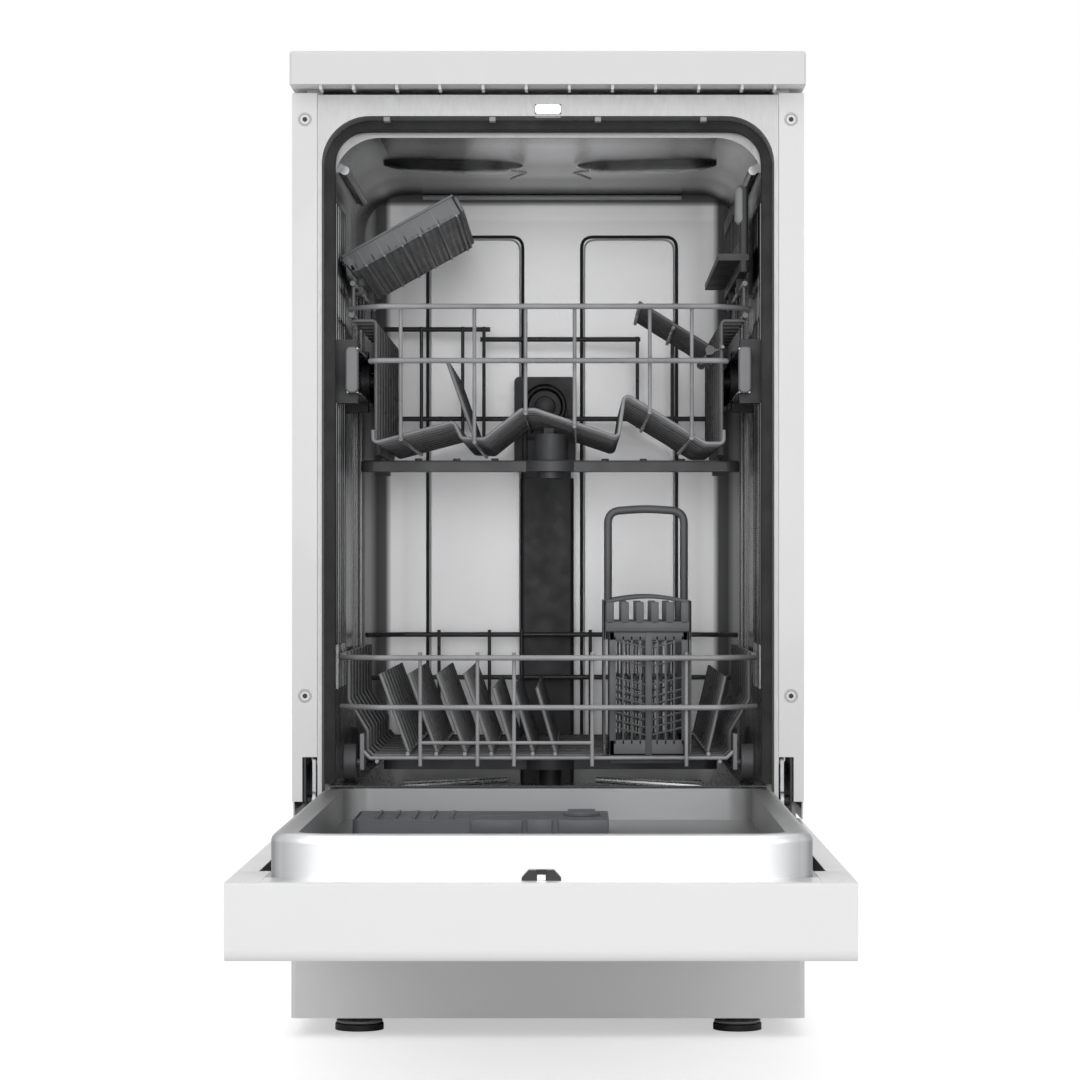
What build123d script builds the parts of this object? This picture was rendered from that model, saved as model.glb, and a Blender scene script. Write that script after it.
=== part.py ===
import os

from build123d import *

os.makedirs("parts", exist_ok=True)

# Overall sizes. X runs across the front, Y from front to back, Z up from the floor.
width = 448
total_height = 857
cabinet_depth = 545  # from the front flanges to the back
door_reach = 600  # how far the open door stands out from the front flanges
foot_height = 16
worktop_height = 29
worktop_overhang = 29
body_top = 824

# Sheets and walls
sheet = 1.2
plastic = 3
clearance = 0.3
running_fit = 0.05
overrun = 5
cut_gap = 0.02

# Tub
tub_half_width = 191
tub_top = 790
tub_depth = 520
tub_corner = 42
tub_floor_top = 190
ledge_top = 217.5
ledge_width = 22
opening_half_width = 198
opening_top = 804
opening_bottom = 205
flange_width = 22
gasket_start = 31.5
gasket_width = 8
gasket_depth = 10

# Door, modelled open, its inner side up
hinge_setback = 18
hinge_height = 204
hinge_pin_radius = 5
inner_drop = 18.5
door_thickness = 56
door_tail = 55
console_length = 100
liner_half_width = 196
liner_rise = 31.5
liner_front = 572
liner_rear = 15
liner_corner = 38
recess_half_width = 176
recess_depth = 27
plinth_height = 98

# Wires
rail_radius = 2.4
wire_radius = 1.7
tine_radius = 1.6
bend = 4

front_y = (door_reach - cabinet_depth) / 2
back_y = front_y + cabinet_depth
hinge_y = front_y + hinge_setback
inner_z = hinge_height - inner_drop
outer_z = inner_z - door_thickness
half_width = width / 2
flange_inner = half_width - flange_width
tub_back_y = front_y + tub_depth


def facing(y):
    # An upright plane that faces the front, at depth y
    return Plane.XZ.offset(-y)


def block(x, y, z, mode=Mode.ADD):
    # A box between the two ends given along each axis
    with Locations(((x[0] + x[1]) / 2, (y[0] + y[1]) / 2, (z[0] + z[1]) / 2)):
        Box(x[1] - x[0], y[1] - y[0], z[1] - z[0], mode=mode)


def rod(start, end, radius, mode=Mode.ADD):
    run = Vector(end) - Vector(start)
    with BuildSketch(Plane(origin=start, z_dir=run)) as section:
        Circle(radius)
    extrude(section.sketch, amount=run.length, mode=mode)


def bent_wire(points, radius, corner=bend):
    with BuildLine() as path:
        FilletPolyline(*points, radius=corner)
    with BuildSketch(Plane(origin=path.line @ 0, z_dir=path.line % 0)) as section:
        Circle(radius)
    sweep(section.sketch, path=path.line)


def both_sides(x, depth):
    # The same stretch of X on the right and on the left
    return [(x, x + depth), (-x - depth, -x)]


def cut_across(xs, y, z):
    # Cuts wires into separate runs at each x
    for x in xs:
        block((x, x + cut_gap), y, z, mode=Mode.SUBTRACT)


def write(piece, name):
    piece.part.label = name
    export_step(piece.part, f"parts/{name}.step")


# Cabinet: worktop, on ribs that show under its front edge
rib_pitch = 37.5
rib_width = 2.4
rib_count = 10
rib_height = 4
outer_rib_x = 197.3
worktop_round = 3
seat_inset = 12
seat_width = 14
worktop_front = front_y - worktop_overhang
worktop_bottom = total_height - worktop_height

with BuildPart() as worktop:
    block((-half_width, half_width), (worktop_front, back_y), (worktop_bottom, total_height))
    front_corners = worktop.edges().filter_by(Axis.Z).group_by(Axis.Y)[0]
    fillet(worktop.edges().group_by(Axis.Z)[-1] + front_corners, worktop_round)
    rib_row = front_y - worktop_overhang / 2
    rib_span = worktop_overhang - 2 * rib_height
    with Locations((0, rib_row, worktop_bottom - rib_height / 2)):
        with GridLocations(rib_pitch, 0, rib_count, 1):
            Box(rib_width, rib_span, rib_height)
        with GridLocations(2 * outer_rib_x, 0, 2, 1):
            Box(rib_width, rib_span, rib_height)
    seat = half_width - seat_inset
    for x in both_sides(seat - seat_width, seat_width):
        block(x, (front_y + seat_inset, back_y - seat_inset), (body_top, worktop_bottom))
write(worktop, "worktop")

# Cabinet: side panels, with the hinge slots and the pocket in which the door's lower end swings
screw_x = 212.7
screw_heights = (801, 296.5)
screw_head_radius = 5.6
screw_shank_radius = 2
screw_length = 9
slot_edge_x = 215
slot_top = 243
sweep_margin = 2
tail_radius = (door_tail**2 + (inner_drop + door_thickness) ** 2) ** 0.5 + sweep_margin
pocket_top = inner_z + sweep_margin
swing_room = 6
panel_back = back_y - sheet - clearance


def side_panel(side):
    # side is 1 for the right panel and -1 for the left one
    with BuildPart() as panel:
        outer = (side * (half_width - sheet), side * half_width)
        flange = (side * flange_inner, side * half_width)
        block(sorted(outer), (front_y, panel_back), (foot_height, body_top))
        block(sorted(flange), (front_y, front_y + sheet), (foot_height, body_top))
        block(sorted(flange), (panel_back - sheet, panel_back), (foot_height, body_top))
        block(sorted(flange), (front_y, panel_back), (body_top - sheet, body_top))
        slot = (side * (flange_inner - overrun), side * slot_edge_x)
        slot_depth = (front_y - overrun, front_y + sheet + overrun)
        block(sorted(slot), slot_depth, (inner_z, slot_top), mode=Mode.SUBTRACT)
        with BuildSketch(Plane.YZ.offset(-half_width - overrun)):
            with Locations((hinge_y, hinge_height)):
                Circle(tail_radius)
            with Locations((hinge_y, pocket_top - tail_radius)):
                Rectangle(2 * tail_radius, 2 * tail_radius, mode=Mode.INTERSECT)
        extrude(amount=width + 2 * overrun, mode=Mode.SUBTRACT)
        swing = (front_y - overrun, hinge_y - swing_room)
        block(sorted(flange), swing, (inner_z, hinge_height), mode=Mode.SUBTRACT)
        for z in screw_heights:
            rod(
                (side * screw_x, front_y - overrun, z),
                (side * screw_x, front_y + overrun, z),
                screw_head_radius + clearance,
                mode=Mode.SUBTRACT,
            )
    return panel


write(side_panel(-1), "side_panel_left")
write(side_panel(1), "side_panel_right")

screw_head = 1.5
screw_recess = 0.7
head_front = front_y - clearance / 2
with BuildPart() as cabinet_screws:
    for side in (-1, 1):
        for z in screw_heights:
            rod(
                (side * screw_x, head_front, z),
                (side * screw_x, head_front + screw_head, z),
                screw_head_radius,
            )
            rod(
                (side * screw_x, head_front + screw_recess, z),
                (side * screw_x, front_y + screw_length, z),
                screw_shank_radius,
            )
            rod(
                (side * screw_x, head_front - overrun, z),
                (side * screw_x, head_front + screw_recess, z),
                screw_shank_radius,
                mode=Mode.SUBTRACT,
            )
write(cabinet_screws, "cabinet_screws")

# Cabinet: back panel, short at the bottom so that the hoses reach their connections
back_panel_bottom = 168
with BuildPart() as back_panel:
    block(
        (-half_width + sheet, half_width - sheet),
        (back_y - sheet, back_y),
        (back_panel_bottom, body_top - sheet),
    )
write(back_panel, "back_panel")

# Cabinet: plinth, with its bevelled sides
plinth_front = front_y - 12
plinth_bevel = 4
plinth_back = front_y - clearance
plinth_foot_chamfer = 3
with BuildPart() as plinth:
    with BuildSketch(Plane.XY.offset(foot_height)):
        with Locations((0, (plinth_front + plinth_back) / 2)):
            Rectangle(width, plinth_back - plinth_front)
    extrude(amount=plinth_height)
    chamfer(plinth.edges().filter_by(Axis.Z).group_by(Axis.Y)[0], plinth_bevel)
    inner = half_width - plastic
    block(
        (-inner, inner),
        (plinth_front + plastic, plinth_back + overrun),
        (foot_height - overrun, foot_height + plinth_height - plastic),
        mode=Mode.SUBTRACT,
    )
write(plinth, "plinth")

# Base: tray that carries the tub, the pumps and the feet
tray_half_width = half_width - sheet - clearance
tray_front = front_y + sheet + clearance
tray_wall_height = 92
tray_floor = 4
tray_back = back_y - 42
foot_x = 167.5
foot_inset = 42
stud_radius = 4
boss_radius = 13
boss_height = 34
post_radius = 12
post_x = 150
post_rows = (front_y + 150, front_y + 470)
foot_rows = {"front": front_y + foot_inset, "rear": tray_back - foot_inset}

with BuildPart() as base_tray:
    block(
        (-tray_half_width, tray_half_width),
        (tray_front, tray_back),
        (foot_height, foot_height + tray_wall_height),
    )
    block(
        (-tray_half_width + plastic, tray_half_width - plastic),
        (tray_front + plastic, tray_back - plastic),
        (foot_height + tray_floor, foot_height + tray_wall_height + overrun),
        mode=Mode.SUBTRACT,
    )
    places = [(side * foot_x, y) for side in (-1, 1) for y in foot_rows.values()]
    with BuildSketch(Plane.XY.offset(foot_height)):
        with Locations(*places):
            Circle(boss_radius)
    extrude(amount=boss_height)
    with BuildSketch(Plane.XY.offset(foot_height)):
        with Locations(*[(side * post_x, y) for side in (-1, 1) for y in post_rows]):
            Circle(post_radius)
    extrude(amount=tub_floor_top - sheet - clearance - foot_height)
    with BuildSketch(Plane.XY.offset(foot_height - overrun)):
        with Locations(*places):
            Circle(stud_radius + running_fit)
    extrude(amount=boss_height + 2 * overrun, mode=Mode.SUBTRACT)
write(base_tray, "base_tray")

# Feet: a wide pad, a neck and a stud that screws into the tray
pad_radius = 21.5
pad_height = 6
neck_radius = 12
stud_top = foot_height + boss_height - 4


def foot(x, y):
    with BuildPart() as piece:
        rod((x, y, 0), (x, y, pad_height), pad_radius)
        rod((x, y, 0), (x, y, foot_height - clearance), neck_radius)
        rod((x, y, 0), (x, y, stud_top), stud_radius)
        fillet(piece.edges().filter_by(GeomType.CIRCLE).sort_by(SortBy.RADIUS)[-1], 1)
    return piece


for row, y in foot_rows.items():
    write(foot(-foot_x, y), f"foot_{row}_left")
    write(foot(foot_x, y), f"foot_{row}_right")


# Tub: arch outlines shared by the wrapper, the back, the frame and the gasket
def arch(half, top, corner, bottom):
    with BuildSketch(mode=Mode.PRIVATE) as outline:
        with Locations((0, (top + bottom) / 2)):
            Rectangle(2 * half, top - bottom)
        fillet(outline.vertices().group_by(Axis.Y)[-1], corner)
    return outline.sketch


frame_depth = gasket_start + gasket_depth + 2
wrapper_front = front_y + frame_depth + clearance
wrapper_bottom = ledge_top + clearance
tub_inside = arch(tub_half_width, tub_top, tub_corner, wrapper_bottom - overrun)
tub_outside = arch(tub_half_width + sheet, tub_top + sheet, tub_corner + sheet, wrapper_bottom)
tub_back_outline = arch(tub_half_width + sheet, tub_top + sheet, tub_corner + sheet, tub_floor_top)
side_rib_width = 7
side_rib_rise = 1.6
side_rib_bottom = 300
side_rib_top = 700
side_rib_rows = [front_y + 90 + 36 * i for i in range(4)] + [front_y + 330 + 36 * i for i in range(4)]
ceiling_rib_rows = (front_y + 210, front_y + 350)
ceiling_rib_length = 150
ceiling_rib_width = 26
ceiling_rib_x = 96

with BuildPart() as tub_wrapper:
    with BuildSketch(facing(tub_back_y)):
        add(tub_outside)
        add(tub_inside, mode=Mode.SUBTRACT)
    extrude(amount=tub_back_y - wrapper_front)
    for side in (-1, 1):
        inside = sorted((side * tub_half_width, side * (tub_half_width - side_rib_rise)))
        for y in side_rib_rows:
            block(inside, (y, y + side_rib_width), (side_rib_bottom, side_rib_top))
write(tub_wrapper, "tub_wrapper")

panel_bead = 5
bead_rise = 1.6
bead_bottom = 230
bead_top = 747
bead_inner_x = 30
bead_outer_x = 127
bead_corner = 8
with BuildPart() as tub_back:
    with BuildSketch(facing(tub_back_y)):
        add(tub_back_outline)
    extrude(amount=-sheet)
    with BuildSketch(facing(tub_back_y)):
        with Locations(*[(side * (bead_inner_x + bead_outer_x) / 2, (bead_bottom + bead_top) / 2) for side in (-1, 1)]):
            RectangleRounded(bead_outer_x - bead_inner_x, bead_top - bead_bottom, bead_corner)
            RectangleRounded(
                bead_outer_x - bead_inner_x - 2 * panel_bead,
                bead_top - bead_bottom - 2 * panel_bead,
                bead_corner - panel_bead + 1,
                mode=Mode.SUBTRACT,
            )
    extrude(amount=bead_rise)
write(tub_back, "tub_back")

# Tub: floor pressed between two ledges on which the lower basket rolls
floor_front = front_y + 10
ledge_inner = tub_half_width - ledge_width
floor_slope = 8
arm_y = front_y + 262
sump_radius = 62
with BuildPart() as tub_floor:
    with BuildSketch(facing(tub_back_y - clearance)):
        with BuildLine():
            Polyline(
                (-tub_half_width - sheet, ledge_top),
                (-ledge_inner, ledge_top),
                (-ledge_inner + floor_slope, tub_floor_top),
                (ledge_inner - floor_slope, tub_floor_top),
                (ledge_inner, ledge_top),
                (tub_half_width + sheet, ledge_top),
                (tub_half_width + sheet, ledge_top - sheet),
                (ledge_inner + sheet, ledge_top - sheet),
                (ledge_inner - floor_slope + sheet, tub_floor_top - sheet),
                (-ledge_inner + floor_slope - sheet, tub_floor_top - sheet),
                (-ledge_inner - sheet, ledge_top - sheet),
                (-tub_half_width - sheet, ledge_top - sheet),
                close=True,
            )
        make_face()
    extrude(amount=tub_back_y - clearance - floor_front)
    lip = (tub_floor_top - sheet, ledge_top)
    block((-ledge_inner - sheet, ledge_inner + sheet), (floor_front, floor_front + sheet), lip)
    with BuildSketch(Plane.XY.offset(tub_floor_top - overrun)):
        with Locations((0, arm_y)):
            Circle(sump_radius)
    extrude(amount=2 * overrun, mode=Mode.SUBTRACT)
write(tub_floor, "tub_floor")

# Tub: front frame between the side flanges, its lip and the step behind the gasket
frame_edge = flange_inner - clearance
lip_sheet = 1.5
notch_half_width = 11.5
striker_bottom = 806
striker_top = 814
striker_depth = 12
opening = arch(opening_half_width, opening_top, tub_corner, opening_bottom - overrun)
lip_outline = arch(
    opening_half_width + lip_sheet, opening_top + lip_sheet, tub_corner + lip_sheet, opening_bottom
)
tub_mouth = arch(tub_half_width, tub_top, tub_corner, opening_bottom - overrun)
with BuildPart() as tub_front_frame:
    with BuildSketch(facing(front_y)):
        with Locations((0, (opening_bottom + body_top - clearance - sheet) / 2)):
            Rectangle(2 * frame_edge, body_top - clearance - sheet - opening_bottom)
        add(opening, mode=Mode.SUBTRACT)
    extrude(amount=-lip_sheet)
    with BuildSketch(facing(front_y)):
        add(lip_outline)
        add(opening, mode=Mode.SUBTRACT)
    extrude(amount=-frame_depth)
    step_y = front_y + frame_depth
    with BuildSketch(facing(step_y)):
        add(lip_outline)
        add(tub_mouth, mode=Mode.SUBTRACT)
    extrude(amount=lip_sheet)
    notch = (-notch_half_width, notch_half_width)
    block(
        notch,
        (front_y + lip_sheet, front_y + striker_depth),
        (opening_top - overrun, opening_top + lip_sheet + overrun),
        mode=Mode.SUBTRACT,
    )
    block(
        notch,
        (front_y - overrun, front_y + lip_sheet + overrun),
        (opening_top + lip_sheet, striker_top + clearance),
        mode=Mode.SUBTRACT,
    )
    under_ledge = (ledge_top - sheet - 2 * clearance) - opening_bottom
    block(
        (-tub_half_width - 2 * sheet, tub_half_width + 2 * sheet),
        (floor_front - clearance, step_y + overrun),
        (opening_bottom - overrun, ledge_top + clearance),
        mode=Mode.SUBTRACT,
    )
write(tub_front_frame, "tub_front_frame")

gasket_outer = arch(
    opening_half_width - clearance, opening_top - clearance, tub_corner - clearance, wrapper_bottom
)
gasket_inner = arch(
    opening_half_width - gasket_width,
    opening_top - gasket_width,
    tub_corner - gasket_width,
    wrapper_bottom - overrun,
)
with BuildPart() as tub_gasket:
    with BuildSketch(facing(front_y + gasket_start)):
        add(gasket_outer)
        add(gasket_inner, mode=Mode.SUBTRACT)
    extrude(amount=-gasket_depth)
write(tub_gasket, "tub_gasket")

striker_half_width = 11
with BuildPart() as door_striker:
    block(
        (-striker_half_width, striker_half_width),
        (front_y - clearance / 2, front_y + striker_depth),
        (striker_bottom, striker_top),
    )
    fillet(door_striker.edges().filter_by(Axis.Y), 2)
write(door_striker, "door_striker")

# Hinges: fixed plates with the pivot pins, in the gap between tub and side panel
plate_x = 212
plate_sheet = 2
arm_x = 204
arm_sheet = 3
crank_length = 35
crank_radius = 6
spring_x = arm_x + arm_sheet / 2
spring_z = hinge_height + crank_length
spring_front = front_y + 50
spring_rear = front_y + 240
spring_radius = 5
peg_radius = 3
peg_y = spring_rear + peg_radius + clearance
plate_rows = (front_y + 120, front_y + 220)
with BuildPart() as hinge_plates:
    for side in (-1, 1):
        inside = side * plate_x
        outside = side * (plate_x + plate_sheet)
        plate_rear = peg_y + 2 * peg_radius
        plate_top = spring_z + 4 * peg_radius
        wall = sorted((inside, outside))
        block(wall, (front_y + sheet + clearance, plate_rear), (hinge_height, plate_top))
        block(wall, (hinge_y - swing_room, plate_rear), (pocket_top, plate_top))
        rod(
            (side * (arm_x - 1), hinge_y, hinge_height),
            (inside, hinge_y, hinge_height),
            hinge_pin_radius,
        )
        rod(
            (side * (spring_x - peg_radius), peg_y, spring_z),
            (inside, peg_y, spring_z),
            peg_radius,
        )
        for y in plate_rows:
            rod(
                (outside, y, spring_z),
                (side * (half_width - sheet - clearance), y, spring_z),
                2 * peg_radius,
            )
write(hinge_plates, "hinge_plates")

link_radius = 1.2
with BuildPart() as door_springs:
    for side in (-1, 1):
        x = side * spring_x
        rod((x, spring_front, spring_z), (x, spring_rear, spring_z), spring_radius)
        link_start = hinge_y + crank_radius + clearance
        rod((x, link_start, spring_z), (x, spring_front, spring_z), link_radius)
write(door_springs, "door_springs")

# Door hinge arms: bored for the pin, with a crank for the spring and a strap inside the door
arm_length = 130
arm_depth = 26
strap_width = 12
strap_sheet = 2
return_inner = 208
eye_radius = 10
with BuildPart() as hinge_arms:
    for side in (-1, 1):
        start = min(side * arm_x, side * (arm_x + arm_sheet))
        with BuildSketch(Plane.YZ.offset(start)):
            with Locations((hinge_y, hinge_height)):
                Circle(eye_radius)
            with Locations((hinge_y, spring_z)):
                Circle(crank_radius)
            with Locations((hinge_y, (hinge_height + spring_z) / 2)):
                Rectangle(2 * crank_radius, crank_length)
            with Locations((hinge_y - eye_radius / 2, hinge_height - (inner_drop + arm_depth) / 2)):
                Rectangle(eye_radius, inner_drop + arm_depth)
            with Locations((hinge_y - arm_length / 2, inner_z - arm_depth / 2 - sheet - clearance)):
                Rectangle(arm_length, arm_depth)
            with Locations((hinge_y, hinge_height)):
                Circle(hinge_pin_radius + running_fit, mode=Mode.SUBTRACT)
        extrude(amount=arm_sheet)
        strap_top = inner_z - sheet - clearance
        block(
            sorted((side * arm_x, side * (arm_x + arm_sheet + strap_width))),
            (hinge_y - arm_length, hinge_y - arm_length / 2),
            (strap_top - strap_sheet, strap_top),
        )
write(hinge_arms, "hinge_arms")

# Door: outer steel panel, a tray with returns on its sides
console_front = front_y - door_reach
seam_y = console_front + console_length
tail_y = hinge_y + door_tail
tail_round = 12
door_screw_x = 212
door_screw_radius = 3.2
door_screw_rows = (front_y - 474, front_y - 585)
liner_screw_xs = (-89, -29, 22, 81)
liner_screw_y = front_y - 583
door_screw_length = 10



def panel_profile(inset, extra):
    # The door panel seen from the side, its lower outer corner rounded
    front = seam_y - extra
    rear = tail_y - inset
    bottom = outer_z + inset
    top = inner_z - inset + extra
    with BuildSketch(Plane.YZ.offset(-half_width + inset)) as profile:
        with Locations(((front + rear) / 2, (bottom + top) / 2)):
            Rectangle(rear - front, top - bottom)
        fillet(profile.vertices().group_by(Axis.Y)[-1].sort_by(Axis.Z)[0], tail_round - inset)
    return profile.sketch


with BuildPart() as door_outer_panel:
    extrude(panel_profile(0, 0), amount=width)
    extrude(panel_profile(sheet, 0), amount=width - 2 * sheet, mode=Mode.SUBTRACT)
    block(
        (-half_width + sheet, half_width - sheet),
        (seam_y - overrun, seam_y + 2 * sheet),
        (outer_z + sheet, inner_z - sheet),
        mode=Mode.SUBTRACT,
    )
    block(
        (-return_inner, return_inner),
        (seam_y - overrun, tail_y + overrun),
        (inner_z - sheet - overrun, inner_z + overrun),
        mode=Mode.SUBTRACT,
    )
    for side in (-1, 1):
        rod(
            (side * door_screw_x, door_screw_rows[0], inner_z - overrun),
            (side * door_screw_x, door_screw_rows[0], inner_z + overrun),
            door_screw_radius + clearance,
            mode=Mode.SUBTRACT,
        )
write(door_outer_panel, "door_outer_panel")

# Door: inner steel liner, a flat flange with a raised rim round a recess
liner_flange_half = 199
liner_flange_front = front_y - 591
liner_sheet = 1
rim_top = inner_z + liner_rise
recess_floor = rim_top - recess_depth
recess_front = front_y - 555
recess_rear = front_y - 25
recess_corner = 22
rim_y = (front_y - liner_front, front_y - liner_rear)
dispenser_x = (-155, 51)
dispenser_y = (front_y - 260, front_y - 150)
dispenser_lip = 8
nose_half_width = 14
nose_y = (front_y - 581, front_y - 573)


def rounded_outline(half, y, corner, z):
    with BuildSketch(Plane.XY.offset(z)) as outline:
        with Locations((0, (y[0] + y[1]) / 2)):
            RectangleRounded(2 * half, y[1] - y[0], corner)
    return outline.sketch


with BuildPart() as door_liner:
    block(
        (-liner_flange_half, liner_flange_half),
        (liner_flange_front, tail_y - sheet - clearance),
        (inner_z - liner_sheet, inner_z),
    )
    bottom = inner_z - liner_sheet
    extrude(rounded_outline(liner_half_width, rim_y, liner_corner, bottom), amount=rim_top - bottom)
    fillet(door_liner.edges().group_by(Axis.Z)[-1], 6)
    under = (rim_y[0] + liner_sheet, rim_y[1] - liner_sheet)
    extrude(
        rounded_outline(liner_half_width - liner_sheet, under, liner_corner - liner_sheet, bottom),
        amount=rim_top - liner_sheet - bottom - 2,
        mode=Mode.SUBTRACT,
    )
    extrude(
        rounded_outline(
            recess_half_width + liner_sheet,
            (recess_front - liner_sheet, recess_rear + liner_sheet),
            recess_corner + liner_sheet,
            recess_floor - liner_sheet,
        ),
        amount=recess_depth - 1,
    )
    extrude(
        rounded_outline(recess_half_width, (recess_front, recess_rear), recess_corner, recess_floor),
        amount=recess_depth + overrun,
        mode=Mode.SUBTRACT,
    )
    block(
        (dispenser_x[0] + dispenser_lip, dispenser_x[1] - dispenser_lip),
        (dispenser_y[0] + dispenser_lip, dispenser_y[1] - dispenser_lip),
        (recess_floor - overrun, recess_floor + overrun),
        mode=Mode.SUBTRACT,
    )
    block(
        (-nose_half_width - clearance, nose_half_width + clearance),
        (nose_y[0] - clearance, nose_y[1] + clearance),
        (inner_z - overrun, inner_z + overrun),
        mode=Mode.SUBTRACT,
    )
    for x in liner_screw_xs:
        rod(
            (x, liner_screw_y, inner_z - overrun),
            (x, liner_screw_y, inner_z + overrun),
            door_screw_radius + clearance,
            mode=Mode.SUBTRACT,
        )
write(door_liner, "door_liner")

# Door: console with the handle pocket, the button holes and the posts for the board
console_round = 8
console_back = seam_y - clearance
rim_strip = 9
pocket_half_width = 75
pocket_y = (console_front + 30, console_front + 68)
pocket_depth = 24
button_radius = 6
button_y = console_front + 50
button_xs = {"power": -190, "program": -160, "start": 160}
button_hole = button_radius + clearance
button_proud = 1
button_travel = 2
button_flange = 2
button_flange_radius = 8
board_z = outer_z + plastic + clearance + button_flange + button_travel + clearance
board_sheet = 1.6
board_x = (95, 205)
board_y = (console_front + 22, console_front + 80)
board_post_radius = 3
board_post_inset = 6
latch_mount = 12

with BuildPart() as console:
    block((-half_width, half_width), (console_front, console_back), (outer_z, inner_z))
    front_edges = console.edges().group_by(Axis.Y)[0]
    fillet(front_edges.sort_by(Axis.Z)[0], console_round)
    fillet(console.edges().group_by(Axis.Y)[0].sort_by(Axis.Z)[-1], 2)
    block(
        (-half_width + plastic, half_width - plastic),
        (console_front + plastic, console_back + overrun),
        (outer_z + plastic, inner_z - plastic),
        mode=Mode.SUBTRACT,
    )
    block(
        (-liner_flange_half - clearance, liner_flange_half + clearance),
        (console_front + rim_strip - clearance, console_back + overrun),
        (inner_z - plastic - overrun, inner_z + overrun),
        mode=Mode.SUBTRACT,
    )
    block(
        (-pocket_half_width - plastic, pocket_half_width + plastic),
        (pocket_y[0] - plastic, pocket_y[1] + plastic),
        (outer_z + plastic / 2, outer_z + pocket_depth + plastic),
    )
    block(
        (-pocket_half_width, pocket_half_width),
        pocket_y,
        (outer_z - overrun, outer_z + pocket_depth),
        mode=Mode.SUBTRACT,
    )
    for x in button_xs.values():
        rod(
            (x, button_y, outer_z - overrun),
            (x, button_y, outer_z + plastic + clearance),
            button_hole,
            mode=Mode.SUBTRACT,
        )
    for x in (board_x[0] + board_post_inset, board_x[1] - board_post_inset):
        for y in (board_y[0] + board_post_inset, board_y[1] - board_post_inset):
            rod((x, y, outer_z + plastic / 2), (x, y, board_z - clearance), board_post_radius)
    for side in (-1, 1):
        rod(
            (side * door_screw_x, door_screw_rows[1], inner_z - plastic - overrun),
            (side * door_screw_x, door_screw_rows[1], inner_z + overrun),
            door_screw_radius + clearance,
            mode=Mode.SUBTRACT,
        )
write(console, "console")


def button(x):
    with BuildPart() as piece:
        flange_z = outer_z + plastic + clearance
        rod((x, button_y, outer_z - button_proud), (x, button_y, flange_z + button_flange), button_radius)
        rod((x, button_y, flange_z), (x, button_y, flange_z + button_flange), button_flange_radius)
        fillet(piece.faces().sort_by(Axis.Z)[0].edges(), button_proud / 2)
    return piece


for name, x in button_xs.items():
    write(button(x), f"button_{name}")

chip_size = 18
chip_height = 3
capacitor_radius = 6
capacitor_height = 14
relay_size = 12
with BuildPart() as control_board:
    block(board_x, board_y, (board_z, board_z + board_sheet))
    top = board_z + board_sheet
    middle_y = (board_y[0] + board_y[1]) / 2
    block((board_x[0] + 30, board_x[0] + 30 + chip_size), (middle_y, middle_y + chip_size), (top, top + chip_height))
    for i in range(3):
        x = board_x[1] - 20 - i * (relay_size + 4)
        block((x, x + relay_size), (middle_y - relay_size, middle_y), (top, top + relay_size))
    rod(
        (board_x[0] + 16, middle_y - 8, top),
        (board_x[0] + 16, middle_y - 8, top + capacitor_height),
        capacitor_radius,
    )
write(control_board, "control_board")

# Door: screws, their heads level with the sheet
screw_seat = 1
door_screw_shank = 1.8
screw_places = [(side * door_screw_x, y) for side in (-1, 1) for y in door_screw_rows]
screw_places += [(x, liner_screw_y) for x in liner_screw_xs]
with BuildPart() as door_screws:
    for x, y in screw_places:
        top = inner_z - clearance / 2
        rod((x, y, top - screw_seat), (x, y, top), door_screw_radius)
        rod((x, y, top - door_screw_length), (x, y, top), door_screw_shank)
write(door_screws, "door_screws")

# Door: latch housing with a raised nose, and the hook that turns inside it
nose_rise = 7.5
nose_top_half = 9
nose_shoulder = 2
housing_height = 26
housing_half = 12
housing_wall = 3
housing_top = inner_z - liner_sheet - clearance
slot_half = 3.5
nose_wall = 1.5
hook_half = 3
hook_pivot_radius = 2
hook_pivot_drop = 14
hook_length = 18
hook_thickness = 2.4
hook_eye = 3.6
hook_y = (nose_y[0] + nose_y[1]) / 2
hook_z = inner_z - hook_pivot_drop
with BuildPart() as latch_housing:
    nose_root = housing_top - housing_wall
    with BuildSketch(facing(nose_y[0])):
        with BuildLine():
            Polyline(
                (-nose_half_width, nose_root),
                (-nose_half_width, inner_z + nose_shoulder),
                (-nose_top_half, inner_z + nose_rise),
                (nose_top_half, inner_z + nose_rise),
                (nose_half_width, inner_z + nose_shoulder),
                (nose_half_width, nose_root),
                close=True,
            )
        make_face()
    extrude(amount=-(nose_y[1] - nose_y[0]))
    housing_bottom = inner_z - housing_height
    block((-housing_half, housing_half), (nose_y[0], nose_y[1] + housing_wall), (housing_bottom, housing_top))
    block(
        (-slot_half, slot_half),
        (nose_y[0] - overrun, nose_y[1] - nose_wall),
        (housing_bottom + housing_wall, inner_z + nose_rise + overrun),
        mode=Mode.SUBTRACT,
    )
    block(
        (-slot_half, slot_half),
        (nose_y[0] - overrun, hook_y + hook_eye + clearance),
        (housing_bottom + housing_wall, hook_z + hook_eye + clearance),
        mode=Mode.SUBTRACT,
    )
    pin_half = housing_half - housing_wall
    rod((-pin_half, hook_y, hook_z), (pin_half, hook_y, hook_z), hook_pivot_radius)
write(latch_housing, "latch_housing")

with BuildPart() as latch_hook:
    with BuildSketch(Plane.YZ.offset(-hook_half)):
        with Locations((hook_y, hook_z)):
            Circle(hook_eye)
        with Locations((hook_y, hook_z + hook_length / 2)):
            Rectangle(hook_thickness, hook_length)
    extrude(amount=2 * hook_half)
    rod(
        (-hook_half - overrun, hook_y, hook_z),
        (hook_half + overrun, hook_y, hook_z),
        hook_pivot_radius + running_fit,
        mode=Mode.SUBTRACT,
    )
write(latch_hook, "latch_hook")

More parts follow.
